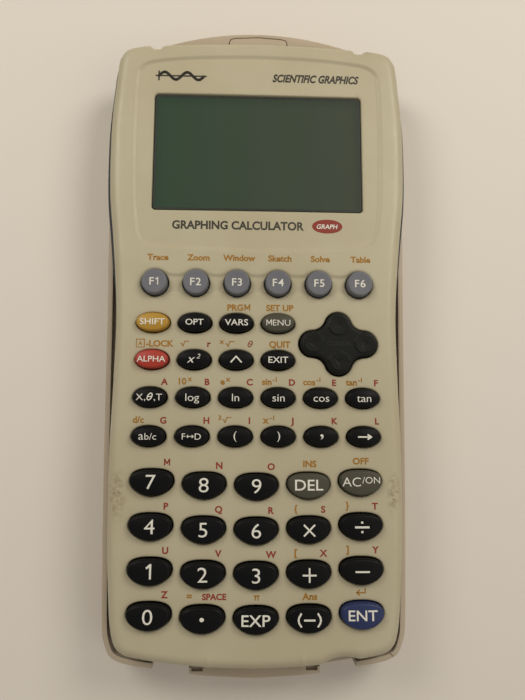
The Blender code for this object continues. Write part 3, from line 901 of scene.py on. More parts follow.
def level_at(height):
    """A level surface to print on."""
    return lambda points: np.full(len(points), height)


def printed(name, layers, look, body, height_at, thickness=0.035):
    """Ink laid over a surface: layers are (verts, faces, x, y), height_at gives the surface."""
    verts, faces = [], []
    for flat, shapes, x, y in layers:
        flat, shapes = refined(flat, shapes)
        place = flat + (x, y)
        heights = height_at(place)
        top = np.column_stack([place, heights + thickness])
        low = np.column_stack([place, heights - thickness])
        first, count = len(verts), len(flat)
        verts += [tuple(v) for v in top] + [tuple(v) for v in low]
        edges = set()
        for shape in shapes:
            faces.append(tuple(first + i for i in shape))
            faces.append(tuple(first + count + i for i in shape[::-1]))
            edges.update(zip(shape, shape[1:] + shape[:1]))
        for a, b in sorted(edges):
            if (b, a) not in edges:
                faces.append((first + b, first + a, first + count + a, first + count + b))
    return new_piece(name, verts, faces, look, body, 30)


# Key legends: text, capital height
LEGENDS = {
    "shift": ("SHIFT", 1.7), "options": ("OPT", 1.62), "variables": ("VARS", 1.7),
    "alpha": ("ALPHA", 1.55), "exit": ("EXIT", 1.7),
    "log": ("log", 2.05), "ln": ("ln", 2.05), "sin": ("sin", 2.05), "cos": ("cos", 2.05),
    "tan": ("tan", 2.05), "paren_open": ("(", 2.1), "paren_close": (")", 2.1),
    "comma": (",", 4.2), "delete": ("DEL", 2.8), "point": (".", 6.4),
    "exponent": ("EXP", 2.8), "enter": ("ENT", 2.6),
}
PARTED_LEGENDS = {
    "menu": ([letter_m(0.12), "ENU"], 1.65),
    "square": ([("x", 1.15, 0.0), ("2", 0.65, 0.55)], 2.0),
    "fraction": ([("a", 1.25, 0.0), "b/c"], 1.75),
    "convert": (["F", double_arrow(), "D"], 1.65),
    "variable_x": (["X", ",", (theta(), 1.05, 0.0), ",T"], 1.8),
    "on": (["AC", ("/ON", 0.72, 0.32)], 2.35),
}
# Signs drawn with a pen: polylines in mm, pen width
SIGNS = {
    "power": ([[(-1.35, -0.75), (0.0, 0.75), (1.35, -0.75)]], 0.36),
    "arrow": ([[(-1.7, 0.0), (1.4, 0.0)], [(0.75, 0.55), (1.65, 0.0), (0.75, -0.55)]], 0.38),
    "multiply": ([[(-1.3, -1.3), (1.3, 1.3)], [(-1.3, 1.3), (1.3, -1.3)]], 0.42),
    "add": ([[(-1.6, 0.0), (1.6, 0.0)], [(0.0, -1.6), (0.0, 1.6)]], 0.42),
    "subtract": ([[(-1.65, 0.0), (1.65, 0.0)]], 0.42),
    "divide": ([[(-1.65, 0.0), (1.65, 0.0)], [(-0.1, 1.15), (0.1, 1.15)],
                [(-0.1, -1.15), (0.1, -1.15)]], 0.5),
    "negative": ([[(-1.25, 0.0), (1.25, 0.0)],
                  [(-2.1, 1.5), (-2.6, 0.7), (-2.75, 0.0), (-2.6, -0.7), (-2.1, -1.5)],
                  [(2.1, 1.5), (2.6, 0.7), (2.75, 0.0), (2.6, -0.7), (2.1, -1.5)]], 0.45),
}


def legend(name):
    """The light legend on a key's cap, draped over its crown."""
    place = centre_mm(f"key_{name}")
    if name in SIGNS:
        flat, faces = strokes(*SIGNS[name])
    elif name in PARTED_LEGENDS:
        parts, size = PARTED_LEGENDS[name]
        shear = 0.3 if name == "square" else 0.0
        flat, faces = lettering(parts, size, bold=THIN, shear=shear, stretch=1.1)
    elif name in LEGENDS:
        text, size = LEGENDS[name]
        bold = FIRM if text.isupper() else THIN
        flat, faces = plain(text, size, bold=bold, stretch=1.12)
    elif name in F_NAMES:
        digit = digit_one() if name == "f1" else name[1:]
        flat, faces = lettering(["F", digit], 2.1, bold=FIRM, stretch=1.05)
    elif name == "1":
        flat, faces = lettering([digit_one()], 3.75)
    else:
        flat, faces = plain(name, 3.75, bold=THIN, stretch=1.12)
    if name in ("comma", "point", "paren_open", "paren_close"):
        flat[:, 1] -= (flat[:, 1].min() + flat[:, 1].max()) / 2
    if name in LARGE_NAMES:
        flat[:, 1] += 0.1 if name in SIGNS else 0.4
    reach = cap_outline(name).max(0)

    def height_at(points):
        spread = np.hypot((points[:, 0] - place.x) / reach[0], (points[:, 1] - place.y) / reach[1])
        return cap_height(name, np.clip(spread, 0, 1))

    printed(f"legend_{name}", [(flat, faces, place.x, place.y)], "white_ink",
            f"key_{name}", height_at)


# Orange labels: key, text or parts, across and up from the key's centre
F_LABEL_UP, ROW_UP, TEXT_UP, LOW_UP = 7.1, 4.3, 4.25, 5.3
ORANGE = [
    ("f1", "Trace", 0.6, F_LABEL_UP), ("f2", "Zoom", 0.5, F_LABEL_UP),
    ("f3", "Window", 0.5, F_LABEL_UP), ("f4", "Sketch", 0.55, F_LABEL_UP),
    ("f5", "Solve", 0.55, F_LABEL_UP),
    ("f6", "Table", 0.55, F_LABEL_UP),
    ("variables", ["PRG", letter_m(0.2)], 0.55, ROW_UP),
    ("menu", "SET UP", 0.5, ROW_UP),
    ("alpha", [boxed_a(), "-LOCK"], 0.6, ROW_UP),
    ("square", [root_sign()], -2.6, ROW_UP),
    ("power", [("x", 0.8, 0.5), root_sign()], -2.5, ROW_UP),
    ("exit", "QUIT", 0.5, ROW_UP),
    ("log", ["10", ("x", 0.8, 0.5)], -2.0, TEXT_UP),
    ("ln", ["e", ("x", 0.8, 0.5)], -2.7, TEXT_UP),
    ("sin", ["sin", ("-1", 0.7, 0.5)], -2.3, TEXT_UP),
    ("cos", ["cos", ("-1", 0.7, 0.5)], -2.25, TEXT_UP),
    ("tan", ["tan", ("-1", 0.7, 0.5)], -2.25, TEXT_UP),
    ("fraction", "d/c", -2.75, TEXT_UP),
    ("paren_open", [("3", 0.7, 0.5), root_sign()], -2.7, TEXT_UP),
    ("paren_close", [("x", 1.1, 0.0), ("-1", 0.7, 0.5)], -2.55, TEXT_UP),
    ("delete", "INS", 0.4, 5.55), ("on", "OFF", 0.3, 5.5),
    ("multiply", "{", -3.25, LOW_UP), ("divide", "}", -3.35, LOW_UP),
    ("add", "[", -3.25, LOW_UP), ("subtract", "]", -3.4, LOW_UP),
    ("point", "=", -3.3, 5.45), ("exponent", [letter_pi()], 0.2, 5.4),
    ("negative", "Ans", 0.25, LOW_UP),
    ("enter", [(return_arrow(), 1.2, 0.0)], -0.1, LOW_UP),
]
# Red letters: the same offset above every key of a rank
RED = {
    "variable_x": "A", "log": "B", "ln": "C", "sin": "D", "cos": "E", "tan": "F",
    "fraction": "G", "convert": "H", "paren_open": "I", "paren_close": "J", "comma": "K",
    "arrow": "L", "8": "N", "9": "O", "4": "P", "5": "Q", "6": "R",
    "multiply": "S", "divide": "T", "1": "U", "2": "V", "3": "W", "add": "X",
    "subtract": "Y", "0": "Z",
}
SMALL_OFFSET = (3.65, 4.1)
LARGE_OFFSET = (3.77, 5.1)


def label(where, text, across, up, size=1.68):
    place = centre_mm(f"key_{where}")
    parts = text if isinstance(text, list) else [text]
    flat, faces = lettering(parts, size, bold=BOLD, stretch=1.03)
    return flat, faces, place.x + across, place.y + up


def labels():
    orange = [label(*entry) for entry in ORANGE]
    red = [
        label(key, text, *(LARGE_OFFSET if key in LARGE_NAMES else SMALL_OFFSET))
        for key, text in RED.items()
    ]
    red += [
        label("square", "r", 3.8, ROW_UP), label("power", [theta()], 3.65, ROW_UP),
        label("point", "SPACE", 2.9, 5.3, 1.5), label("7", [letter_m(0.2)], *LARGE_OFFSET),
    ]
    printed("labels_orange", orange, "orange_ink", MAIN, shell_height)
    printed("labels_red", red, "red_ink", MAIN, shell_height)


BADGE = (19.0, 29.1)
CAPTION = (-5.3, 29.1)
HEADING_Y = 72.4


def fitted(text, width, size, **style):
    """A text squeezed or stretched to a width."""
    flat, faces = plain(text, size, **style)
    return flat * (width / np.ptp(flat[:, 0]), 1.0), faces


def caption():
    """Generic wording below the display, a plain badge, and a pictogram above."""
    dark = [(*fitted("GRAPHING CALCULATOR", 35.8, 2.35, bold=0.03), *CAPTION)]
    dark.append((*fitted("SCIENTIFIC GRAPHICS", 24.5, 2.3, bold=0.035, shear=0.3), 16.2, HEADING_Y))
    dark.append((*pictogram(), -21.7, HEADING_Y))
    printed("caption_dark", dark, "dark_ink", MAIN, shell_height)
    outline = oval((8.3, 3.9), 2.1, 64)
    faces = [(64, i, (i + 1) % 64) for i in range(64)]
    patch = np.vstack([outline, [(0, 0)]])
    printed("badge_red", [(patch, faces, *BADGE)], "red_ink", MAIN, shell_height)

    def above_badge(points):
        return shell_height(points) + 0.04

    text = plain("GRAPH", 1.3, bold=0.02, shear=0.2)
    printed("badge_text", [(*text, *BADGE)], "white_ink", MAIN, above_badge)


def pictogram():
    """A pair of axes with one wave, a plain sign for graph drawing."""
    axes = strokes([[(-7.0, 0.0), (7.0, 0.0)], [(-6.2, -1.3), (-6.2, 1.3)]], 0.45)
    steps = np.linspace(0, 1, 41)
    wave = [(-6.2 + 12.6 * t, 1.1 * math.sin(4 * math.pi * t)) for t in steps]
    line, shapes = strokes([wave], 0.8)
    first = len(axes[0])
    return np.vstack([axes[0], line]), axes[1] + [tuple(first + i for i in f) for f in shapes]


# ---------------------------------------------------------------- display


def display():
    """The clear window with a dark frame printed round its edge, partly the display's border and
    partly painted shade standing in for the shadow of the opening's walls, and the liquid crystal
    below.
    """
    outer = rounded((OPENING[0] - 0.4, OPENING[1] - 0.4), WINDOW_CORNER, 200)
    flange = rounded((OPENING[0] + 2 * WINDOW_LIP, OPENING[1] + 2 * WINDOW_LIP), WINDOW_CORNER, 200)
    low, high = WINDOW_LOW.z, WINDOW_HIGH.z
    rings = [
        ring(flange, low), ring(flange, low + 0.85), ring(outer, low + 0.9),
        ring(outer, high - 0.12), ring(grown(outer, -0.12), high),
    ]
    verts, faces = loft_mesh(rings)
    verts = verts + (WINDOW_CENTRE.x, WINDOW_CENTRE.y, 0)
    window = new_piece("window_clear", verts, faces, "window", MAIN)
    # Painted shade: a thin dark frame laid round the window's edge stands in for the shadow that
    # the opening's walls cast on the display, as well as for its dark border
    border = np.vstack([grown(outer, -0.15), grown(outer, -0.6)])
    count = len(outer)
    strips = [(i, (i + 1) % count, count + (i + 1) % count, count + i) for i in range(count)]
    painted_shade_frame = [(border, strips, WINDOW_CENTRE.x, WINDOW_CENTRE.y)]
    printed("window_painted_shade_frame", painted_shade_frame, "lcd_border_and_painted_shade", MAIN, level_at(high))
    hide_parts("display_window")
    lcd_low, lcd_high = box_mm("lcd_module")
    holder = rounded((lcd_high.x - lcd_low.x, lcd_high.y - lcd_low.y), WINDOW_CORNER, 160)
    glass = rounded((OPENING[0] - 2.6, OPENING[1] - 2.2), 0.3, 160)
    middle = (WINDOW_CENTRE.x, WINDOW_CENTRE.y, 0)
    top = lcd_high.z
    rings = [ring(holder, lcd_low.z), ring(holder, top), ring(glass, top), ring(glass, top - 0.15)]
    verts, faces = loft_mesh(rings)
    module = new_piece("lcd_holder", verts + middle, faces, "lcd_border_and_painted_shade", MAIN)
    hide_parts("lcd_module")
    verts, faces = loft_mesh([ring(glass, top - 0.15), ring(glass, top - 0.02)])
    crystal = new_piece("lcd_glass", verts + middle, faces, "lcd", MAIN)


# ---------------------------------------------------------------- cursor pad

PAD_FLANGE = 0.6
PAD_FILLET = 0.9
PAD_BELOW_KEYS = 0.55
PAD_GRID = 0.25
PAD_GRID_CLEARANCE = 0.12
DISC_EDGE = (2.6, 2.95)
DISC_RISE = 0.3
DISC_DISH = 0.12
ARROW_DEPTH = 0.12


def cursor_pad():
    """A clover with a raised disc on each lobe and an arrow moulded into each disc."""
    outline = clover()
    low = box_mm("cursor_pad")[0].z
    top = KEY_TOP - PAD_BELOW_KEYS
    flange = grown(outline, PAD_FLANGE)
    rings = [ring(flange, low), ring(flange, low + 0.8), ring(outline, low + 0.85)]
    rings += rounded_top(outline, top, PAD_FILLET)
    inner = rings[-1][:, :2]
    verts, faces = loft_mesh(rings, end_cap=False)
    xs = np.arange(-10, 10.01, PAD_GRID)
    grid = np.array([(x, y) for y in np.arange(-8.5, 8.51, PAD_GRID) for x in xs])
    grid = grid[inside_distance(grid, inner) > PAD_GRID_CLEARANCE]
    flat, triangles, _ = triangulated([inner], grid)
    heights = top + pad_relief(flat)
    edge = inside_distance(flat, inner) < 0.01
    heights[edge] = top
    start = len(verts)
    verts = np.vstack([verts, np.column_stack([flat, heights])])
    faces += [tuple(int(i) + start for i in f) for f in triangles]
    verts = verts + (PAD.x, PAD.y, 0)
    pad = new_piece("cursor_pad_fine", verts, faces, "pad", "pad")
    mended(pad.data, merge=True)
    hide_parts("cursor_pad")
    word = plain("CURSOR", 1.15, bold=0.03)
    printed("pad_word", [(*word, PAD.x, PAD.y)], "pad_ink", "pad", level_at(top))


def pad_relief(points):
    """Height of the pad's discs and arrows over its plain top."""
    x, y = points.T
    rise = np.zeros(len(points))
    for lobe_x, lobe_y in PAD_LOBES:
        away = np.hypot(x - lobe_x, y - lobe_y)
        dish = DISC_DISH * np.clip(1 - (away / DISC_EDGE[0]) ** 2, 0, 1)
        disc = DISC_RISE * (1 - smooth_step(away, *DISC_EDGE)) - dish
        out = np.array((lobe_x, lobe_y)) / math.hypot(lobe_x, lobe_y)
        along = (x - lobe_x) * out[0] + (y - lobe_y) * out[1]
        across = abs((x - lobe_x) * out[1] - (y - lobe_y) * out[0])
        arrow = np.minimum(along + 0.7, (0.75 - along) * 0.6 - across * 0.9 + 0.15)
        rise = np.maximum(rise, disc - ARROW_DEPTH * smooth_step(arrow, -0.05, 0.1))
    return rise


# ---------------------------------------------------------------- case, cover and door

CASE_LOW, CASE_HIGH = box_mm("rear_case")
COVER_HIGH = box_mm("slide_cover")[1]
DOOR_LOW, DOOR_HIGH = box_mm("battery_door")
BEYOND = 95.0  # clear of every end, for cutters
RIM_SPREAD = 0.037  # the rim is this much wider than the shell at the display end
RIM_FADE = (-15.0, 20.0)
CASE_HALF_WIDTH = 37.6
CASE_ENDS = (-84.2, 81.6)
COVER_HALF = [
    (0, 86.0), (20, 85.2), (34, 83.5), (39.5, 79.5), (41.6, 72.0), (42.1, 60.0), (42.1, 45.0),
    (42.0, 26.0), (41.6, 7.0), (41.3, -14.0), (40.9, -40.0), (40.4, -60.0), (39.9, -76.0),
    (39.3, -80.5), (37.9, -83.9), (35.6, -85.5), (32.0, -86.5), (27.0, -87.3), (14.0, -89.1),
    (0, -89.9),
]
COVER_WALL = 1.4
COVER_HOLLOW_END = -87.0  # the hollow stops here, so the end strip is thick
COVER_FLOOR = 1.8
COVER_ROUND = 1.4
OPEN_END = 72.0  # beyond this the cover has no walls
RAIL_ENDS = (-72.0, 71.0)
RAIL_Z = (6.1, 7.3)
END_GAP = (17.0, 26.6)  # between the end strip and each corner wall
END_GAP_START, END_GAP_FLOOR = -84.5, 4.0
CATCH_X, CATCH_Y, CATCH_DEPTH = (13.4, 16.4), (-88.0, -86.0), 1.5
CORNER_SEAM = [(35.2, -83.9), (35.4, -83.7), (38.0, -86.0), (37.8, -86.2)]
SEAM_DEPTH = 0.5
GRIP_DEPTH = 0.45
CASE_SAG, CASE_CORNER, CASE_ROUND = 1.9, 7.0, 1.6
CASE_WALL = 2.4
CASE_FLOOR = 1.6
CASE_END_WALL = 2.0
RIM_BAND = 1.4
DOOR_CLEARANCE = 0.3
GROOVE_DEPTH = 1.1
GROOVE_END = 74.0
GROOVE_Z = (5.7, 7.7)
SOCKET_RADIUS, SOCKET_DEPTH = 1.5, 1.4
SCREW_RECESS_RADIUS, SCREW_RECESS_DEPTH = 2.3, 1.0
CASE_SCREWS = [(-30.5, -71.0), (30.5, -71.0), (-31.0, 24.0), (31.0, 24.0)]
BACKUP_LID = (0.0, -12.0)
LID_RECESS, LID_RECESS_DEPTH = (24.0, 17.0), 0.9
LID_SIZE = (23.4, 16.4)
LID_SCREW = (BACKUP_LID[0] + 8.3, BACKUP_LID[1])
PLAIN_LABEL = (0.0, -48.0)
LABEL_SIZE, LABEL_DEPTH = (46.0, 22.0), 0.2


def tray_outline(half_width, low, high, sag, corner, steps=12):
    """Straight sides, ends that bow outwards by sag, and round corners."""
    made = []
    for side, end in ((1, high), (-1, low)):
        edge = end - side * sag
        for angle in np.linspace(0, math.pi / 2, steps):
            x = half_width - corner + corner * math.cos(angle)
            made.append((side * x, edge - side * corner * (1 - math.sin(angle))))
        for x in np.linspace(half_width - corner, corner - half_width, 17)[1:-1]:
            bow = sag * (1 - (x / (half_width - corner)) ** 2)
            made.append((side * x, edge + side * bow))
        for angle in np.linspace(math.pi / 2, math.pi, steps):
            x = corner - half_width + corner * math.cos(angle)
            made.append((side * x, edge - side * corner * (1 - math.sin(angle))))
    return np.array(made)


def solid(rings):
    """A plain mesh object through (outline, height) rings, for cutting and joining."""
    levels = [ring(np.asarray(outline, float), height) for outline, height in rings]
    verts, faces = loft_mesh(levels)
    data = bpy.data.meshes.new("solid")
    data.from_pydata([tuple(v) for v in verts * MM], [], faces)
    mended(data)
    return placed("solid", data)


def block(x, y, z):
    """A box between pairs of limits."""
    outline = [(min(x), min(y)), (max(x), min(y)), (max(x), max(y)), (min(x), max(y))]
    return solid([(outline, min(z)), (outline, max(z))])


def drum(centre, radius, z):
    outline = oval((2 * radius, 2 * radius), 2.0, 40) + centre
    return solid([(outline, min(z)), (outline, max(z))])


def worked(name, base, steps, look, body, bevel=0.2):
    """The base with solids joined and cut in turn and its sharp edges rounded, as a piece."""
    for operation, other in steps:
        modifier = base.modifiers.new("step", "BOOLEAN")
        modifier.operation = operation
        modifier.object = other
    if bevel:
        modifier = base.modifiers.new("edges", "BEVEL")
        modifier.width = bevel * MM
        modifier.segments = 2
        modifier.limit_method = "ANGLE"
        modifier.angle_limit = math.radians(45)
    bpy.context.view_layer.update()
    evaluated = base.evaluated_get(bpy.context.evaluated_depsgraph_get())
    mesh = bpy.data.meshes.new_from_object(evaluated)
    verts = np.array([v.co[:] for v in mesh.vertices]) / MM
    faces = [tuple(p.vertices) for p in mesh.polygons]
    for used in [base] + [other for _, other in steps]:
        bpy.data.objects.remove(used)
    bpy.data.meshes.remove(mesh)
    return new_piece(name, verts, faces, look, body, 32)


def cuts(*tools):
    return [("DIFFERENCE", tool) for tool in tools]


def grooves(half_width, rows, width, z):
    """Parallel grip grooves across the object, as cutting steps."""
    return cuts(*(block((-half_width, half_width), (y, y + width), z) for y in rows))


def rounded_bottom(outline, low, radius, steps=5):
    """Rings for a bottom edge of that radius, from the inside out."""
    rings = []
    for angle in np.linspace(0, math.pi / 2, steps):
        inset = radius * (1 - math.sin(angle))
        rings.append((grown(outline, -inset), low + radius * (1 - math.cos(angle))))
    return rings


def case_cuts(low, high):
    """The hollow, the door's bay, the cover's grooves, the recesses and the link socket."""
    inner = tray_outline(
        CASE_HALF_WIDTH - CASE_WALL, CASE_ENDS[0] + CASE_END_WALL, CASE_ENDS[1] - CASE_END_WALL,
        CASE_SAG, CASE_CORNER - 1,
    )
    bay = (DOOR_HIGH.x - 0.6) + DOOR_CLEARANCE
    door_floor = (low - 1, low + 1.7)
    tools = [
        solid([(inner, low + CASE_FLOOR), (inner, high + 1)]),
        block((-bay, bay), (DOOR_LOW.y - DOOR_CLEARANCE, BEYOND), door_floor),
    ]
    for side in (-1, 1):
        x = (side * (CASE_HALF_WIDTH - GROOVE_DEPTH), side * (CASE_HALF_WIDTH + 1))
        tools.append(block(x, (-BEYOND, GROOVE_END), GROOVE_Z))
    for place in CASE_SCREWS:
        tools.append(drum(place, SCREW_RECESS_RADIUS, (low - 1, low + SCREW_RECESS_DEPTH)))
    lid = rounded(LID_RECESS, 2.0, 60) + BACKUP_LID
    label_area = rounded(LABEL_SIZE, 1.5, 60) + PLAIN_LABEL
    tools.append(solid([(lid, low - 1), (lid, low + LID_RECESS_DEPTH)]))
    tools.append(solid([(label_area, low - 1), (label_area, low + LABEL_DEPTH)]))
    socket = drum((SOCKET.x, 0.0), SOCKET_RADIUS, (SOCKET.y - 3, SOCKET.y + SOCKET_DEPTH))
    for vertex in socket.data.vertices:
        x, y, z = vertex.co
        vertex.co = (x, z, SOCKET.z * MM - y)
    return cuts(*tools, socket)


def rear_case():
    low, high = CASE_LOW.z, CASE_HIGH.z
    tub = tray_outline(CASE_HALF_WIDTH, *CASE_ENDS, CASE_SAG, CASE_CORNER)
    base = solid(rounded_bottom(tub, low, CASE_ROUND) + [(tub, high - 0.6)])
    rim = mirrored(SHELL_HALF, 10)
    faded = (rim[:, 1] - RIM_FADE[0]) / (RIM_FADE[1] - RIM_FADE[0])
    rim[:, 0] *= 1 + RIM_SPREAD * np.clip(faded, 0, 1)
    flange = [
        (grown(rim, -0.7), high - RIM_BAND), (rim, high - 0.9), (rim, high - 0.12),
        (grown(rim, -0.12), high),
    ]
    steps = [("UNION", solid(flange))] + case_cuts(low, high)
    case = worked("rear_case_fine", base, steps, "case", MAIN, 0.15)
    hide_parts("rear_case")


SCREW_HEAD = 3.8
CROSS_SLOT = (1.1, 0.2)  # half its length and half its width


def screw(name, place, face):
    """A cross-head screw whose head faces down, a little inside its recess."""
    head = oval((SCREW_HEAD, SCREW_HEAD), 2.0, 40) + place
    base = solid([
        (grown(head, -0.5), face), (grown(head, -0.12), face + 0.15),
        (head, face + 0.45), (head, face + 0.6),
    ])
    x, y = place
    long, short = CROSS_SLOT
    depth = (face - 1, face + 0.4)
    steps = cuts(
        block((x - long, x + long), (y - short, y + short), depth),
        block((x - short, x + short), (y - long, y + long), depth),
    )
    worked(name, base, steps, "steel", MAIN, 0.0)


def back_details():
    """Screws, the backup cell's lid and plain wording on the back, seen with the cover off."""
    low = CASE_LOW.z
    for number, place in enumerate(CASE_SCREWS, 1):
        screw(f"case_screw_{number}", place, low + 0.35)
    lid = rounded(LID_SIZE, 1.8, 60) + BACKUP_LID
    hole = drum(LID_SCREW, 2.1, (low - 1, low + 0.75))
    base = solid([(lid, low + 0.1), (lid, low + 0.85)])
    worked("backup_cell_lid", base, cuts(hole), "case", MAIN, 0.12)
    screw("lid_screw", LID_SCREW, low + 0.2)
    lines = [
        (plain("BACK-UP CELL", 1.5), BACKUP_LID[0] - 3.0, BACKUP_LID[1], low + 0.1),
        (plain("GRAPHING CALCULATOR", 2.2), PLAIN_LABEL[0], PLAIN_LABEL[1] + 4.5, low + 0.2),
        (plain("4 x AAA CELLS   DC 6 V", 1.7), PLAIN_LABEL[0], PLAIN_LABEL[1], low + 0.2),
    ]
    for number, ((flat, faces), x, y, height) in enumerate(lines, 1):
        layer = (flat * (-1, 1), faces, x, y)
        printed(f"back_text_{number}", [layer], "white_ink", MAIN, level_at(height))


def rail_outline(outline, side):
    """A cover rail in plan: from inside the case's groove to the middle of the cover's wall."""
    wall = grown(outline, -COVER_WALL / 2)
    low, high = RAIL_ENDS
    outer = [tuple(p) for p in wall if p[0] * side > 30 and low < p[1] < high]
    ends = sorted(outer, key=lambda point: point[1])
    tip = side * (CASE_HALF_WIDTH - 0.7)
    return ends + [(tip, ends[-1][1]), (tip, ends[0][1])]


def slide_cover():
    """The tray stored on the back: rounded walls, rails, end strip, corner walls and grip."""
    outline = mirrored(COVER_HALF, 10)
    rim = COVER_HIGH.z
    top = [(outline, rim - 0.35), (grown(outline, -0.1), rim - 0.1), (grown(outline, -0.35), rim)]
    base = solid(rounded_bottom(outline, 0.0, COVER_ROUND) + top)
    inner = grown(outline, -COVER_WALL)
    inner[:, 1] = np.maximum(inner[:, 1], COVER_HOLLOW_END)
    hollow = [(grown(inner, -0.6), COVER_FLOOR), (inner, COVER_FLOOR + 0.6), (inner, rim + 1)]
    open_end = block((-BEYOND, BEYOND), (OPEN_END, BEYOND), (COVER_FLOOR, rim + 1))
    steps = cuts(solid(hollow), open_end)
    for side in (-1, 1):
        gap = [side * x for x in END_GAP]
        catch = [side * x for x in CATCH_X]
        rail = rail_outline(outline, side)
        steps += cuts(
            block(gap, (-BEYOND, END_GAP_START), (END_GAP_FLOOR, rim + 1)),
            block(catch, CATCH_Y, (rim - CATCH_DEPTH, rim + 1)),
        )
        steps.append(("UNION", solid([(rail, z) for z in RAIL_Z])))
    steps += cuts(solid([(CORNER_SEAM, rim - SEAM_DEPTH), (CORNER_SEAM, rim + 1)]))
    steps += grooves(16.0, np.arange(-76.0, -62.0, 2.4), 1.0, (-1, GRIP_DEPTH))
    cover = worked("slide_cover_fine", base, steps, "cover", "cover", 0.18)
    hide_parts("slide_cover")


HOOD_HALF_WIDTH = 27.6
HOOD_EDGE = (82.5, 83.6)  # the shell's top edge beside the hood's ends and at its middle
HOOD_GAP = 0.5
HOOD_END = 2.2
DOOR_HALF_WIDTH, DOOR_END, DOOR_PLATE = 27.0, 84.6, 1.4
TAB_SLOT, TAB_SLOT_DEPTH = 0.32, 1.6
CREVICE_DEPTH = 1.2
TAB_HALF = [(0.0, 88.65), (6.8, 88.2), (8.1, 87.8), (8.5, 86.8), (8.5, 80.0)]


def hood_outline(inset=0.0, steps=40):
    """The door's domed end, between the shell's bowed top edge and a deeper bow."""
    x = np.linspace(-HOOD_HALF_WIDTH, HOOD_HALF_WIDTH, steps)
    reach = 1 - (x / HOOD_HALF_WIDTH) ** 2
    inner = HOOD_EDGE[0] + (HOOD_EDGE[1] - HOOD_EDGE[0]) * reach + HOOD_GAP
    bow = DOOR_HIGH.y - HOOD_EDGE[1] - HOOD_GAP - HOOD_END
    outer = inner + HOOD_END + bow * reach - inset
    return np.vstack([np.column_stack([x, inner]), np.column_stack([x, outer])[::-1]])


def crevice():
    """The dark line between the shell and the hood: the hood's inner edge is cut back."""
    inner = hood_outline()[:40]
    return np.vstack([inner - (0, 1.0), (inner + (0, 1.9))[::-1]])


def ribbon(line, width):
    """A thin closed outline along an open polyline."""
    points = np.array(line)
    along = np.gradient(points, axis=0)
    along /= np.hypot(*along.T)[:, None]
    side = np.stack([along[:, 1], -along[:, 0]], 1) * width / 2
    return np.vstack([points + side, (points - side)[::-1]])


def battery_door():
    low, top = DOOR_LOW.z, DOOR_HIGH.z
    hood = hood_outline()
    edge = [(hood, top - 0.8), (hood_outline(0.2), top - 0.25), (hood_outline(0.55), top)]
    base = solid([(hood, low + 0.1)] + edge)
    slot = ribbon([(-x, y) for x, y in TAB_HALF[:0:-1]] + TAB_HALF, TAB_SLOT)
    steps = cuts(
        solid([(slot, top - TAB_SLOT_DEPTH), (slot, top + 1)]),
        solid([(crevice(), top - CREVICE_DEPTH), (crevice(), top + 1)]),
    )
    width = (-DOOR_HALF_WIDTH, DOOR_HALF_WIDTH)
    plate = block(width, (DOOR_LOW.y, DOOR_END), (low, low + DOOR_PLATE))
    steps.append(("UNION", plate))
    steps += grooves(9.0, np.arange(68.0, 78.0, 2.0), 0.9, (low - 1, low + 0.4))
    door = worked("battery_door_fine", base, steps, "door", "door", 0.1)
    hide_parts("battery_door")


def lathe(name, profile, centre, way, look, body):
    """A turned piece along Y through (radius, along) points; way is 1 or -1."""
    angles = np.linspace(0, 2 * math.pi, 48, endpoint=False)
    circle = np.column_stack([np.cos(angles), np.zeros(48), np.sin(angles)])
    rings = [circle * radius + (0, way * along, 0) for radius, along in profile]
    verts, faces = loft_mesh(rings)
    return new_piece(name, verts + centre, faces, look, body, 40)


def battery_cells():
    """Cells with steel ends, a dark jacket and a band at the positive end."""
    for number in range(1, 5):
        node = f"battery_cell_{number}"
        low, high = box_mm(node)
        centre = np.array((low + high) / 2)
        radius, half = (high.x - low.x) / 2, (high.y - low.y) / 2
        way = 1 if number % 2 else -1
        can = [
            (4.6, -half + 0.02), (4.9, -half + 0.25), (4.9, half - 1.1), (4.4, half - 0.75),
            (1.95, half - 0.75), (1.9, half - 0.1), (1.75, half),
        ]
        cell = lathe(f"cell_can_{number}", can, centre, way, "steel", MAIN)
        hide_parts(node)
        split = half - 12.0
        jacket = [(4.7, -half + 0.35), (radius, -half + 0.7), (radius, split), (4.8, split)]
        band = [(4.8, split), (radius, split), (radius, half - 1.6), (4.6, half - 1.1)]
        lathe(f"cell_jacket_{number}", jacket, centre, way, "jacket", MAIN)
        lathe(f"cell_band_{number}", band, centre, way, "band", MAIN)


def dress_cad_parts():
    """The plain parts inside keep their CAD meshes."""
    looks = {"circuit_board": "board", "key_mat": "silicone", "cursor_pad_pivot": "silicone"}
    for node, look in looks.items():
        obj = frame["nodes"][node]
        obj.data.materials.clear()
        obj.data.materials.append(MATERIALS[look])


# ---------------------------------------------------------------- stage


PAPER = (0.73, 0.68, 0.61)
FLOOR_REACH = 2.0  # in metres, as are the places and sizes of the lights and the camera
WARM = (1.0, 0.95, 0.86)
ROOM = (1.0, 0.94, 0.86)
ROOM_STRENGTH = 0.34
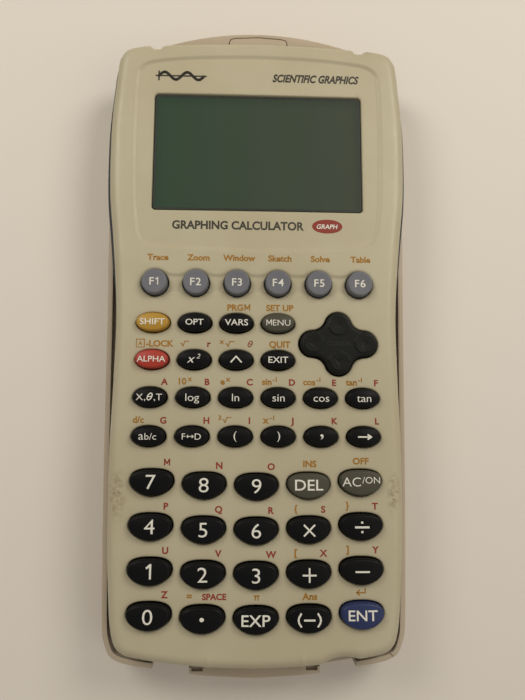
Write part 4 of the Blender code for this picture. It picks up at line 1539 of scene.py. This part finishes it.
# Name, place, target, width, power in watts, colour
LIGHTS = [
    ("key_light_left", (-0.26, 0.24, 0.36), (0, 0.04, 0), 0.22, 0.77, WARM),
    ("key_light_right", (0.26, 0.24, 0.36), (0, 0.04, 0), 0.22, 0.9, WARM),
    ("fill_light", (0.42, -0.22, 0.5), (0, 0, 0), 0.5, 0.5, ROOM),
]
CAMERA_PLACE = (-0.00417, -0.02683, 0.17605)
CAMERA_TURN = (7.863, -2.075, 0.231)  # in degrees, from looking straight down
CAMERA_LENS = 30.86


def stage():
    corners = [(-1, -1), (1, -1), (1, 1), (-1, 1)]
    floor_mesh = bpy.data.meshes.new("floor")
    points = [(x * FLOOR_REACH, y * FLOOR_REACH, 0) for x, y in corners]
    floor_mesh.from_pydata(points, [], [(0, 1, 2, 3)])
    floor_mesh.materials.append(material("paper", PAPER, 0.9))
    placed("floor", floor_mesh)
    for values in LIGHTS:
        area_light(*values)
    world = bpy.data.worlds.new("soft_room")
    world.use_nodes = True
    background = world.node_tree.nodes["Background"]
    background.inputs["Color"].default_value = (*ROOM, 1)
    background.inputs["Strength"].default_value = ROOM_STRENGTH
    bpy.context.scene.world = world


def area_light(name, place, target, size, power, colour):
    data = bpy.data.lights.new(name, "AREA")
    data.shape = "DISK"
    data.size = size
    data.energy = power
    data.color = colour
    obj = placed(name, data)
    obj.location = place
    obj.rotation_euler = (Vector(target) - Vector(place)).to_track_quat("-Z", "Y").to_euler()


def camera():
    data = bpy.data.cameras.new("camera")
    data.lens = CAMERA_LENS
    data.clip_start = 0.01
    obj = placed("camera", data)
    obj.location = CAMERA_PLACE
    obj.rotation_euler = [math.radians(v) for v in CAMERA_TURN]
    bpy.context.scene.camera = obj
    bpy.context.scene.view_settings.view_transform = "Standard"


def main():
    camera()
    stage()
    make_materials()
    dress_cad_parts()
    front_shell()
    rear_case()
    back_details()
    slide_cover()
    battery_door()
    battery_cells()
    display()
    cursor_pad()
    for name in F_NAMES + SMALL_NAMES + LARGE_NAMES:
        cap(name)
        legend(name)
    labels()
    caption()


main()
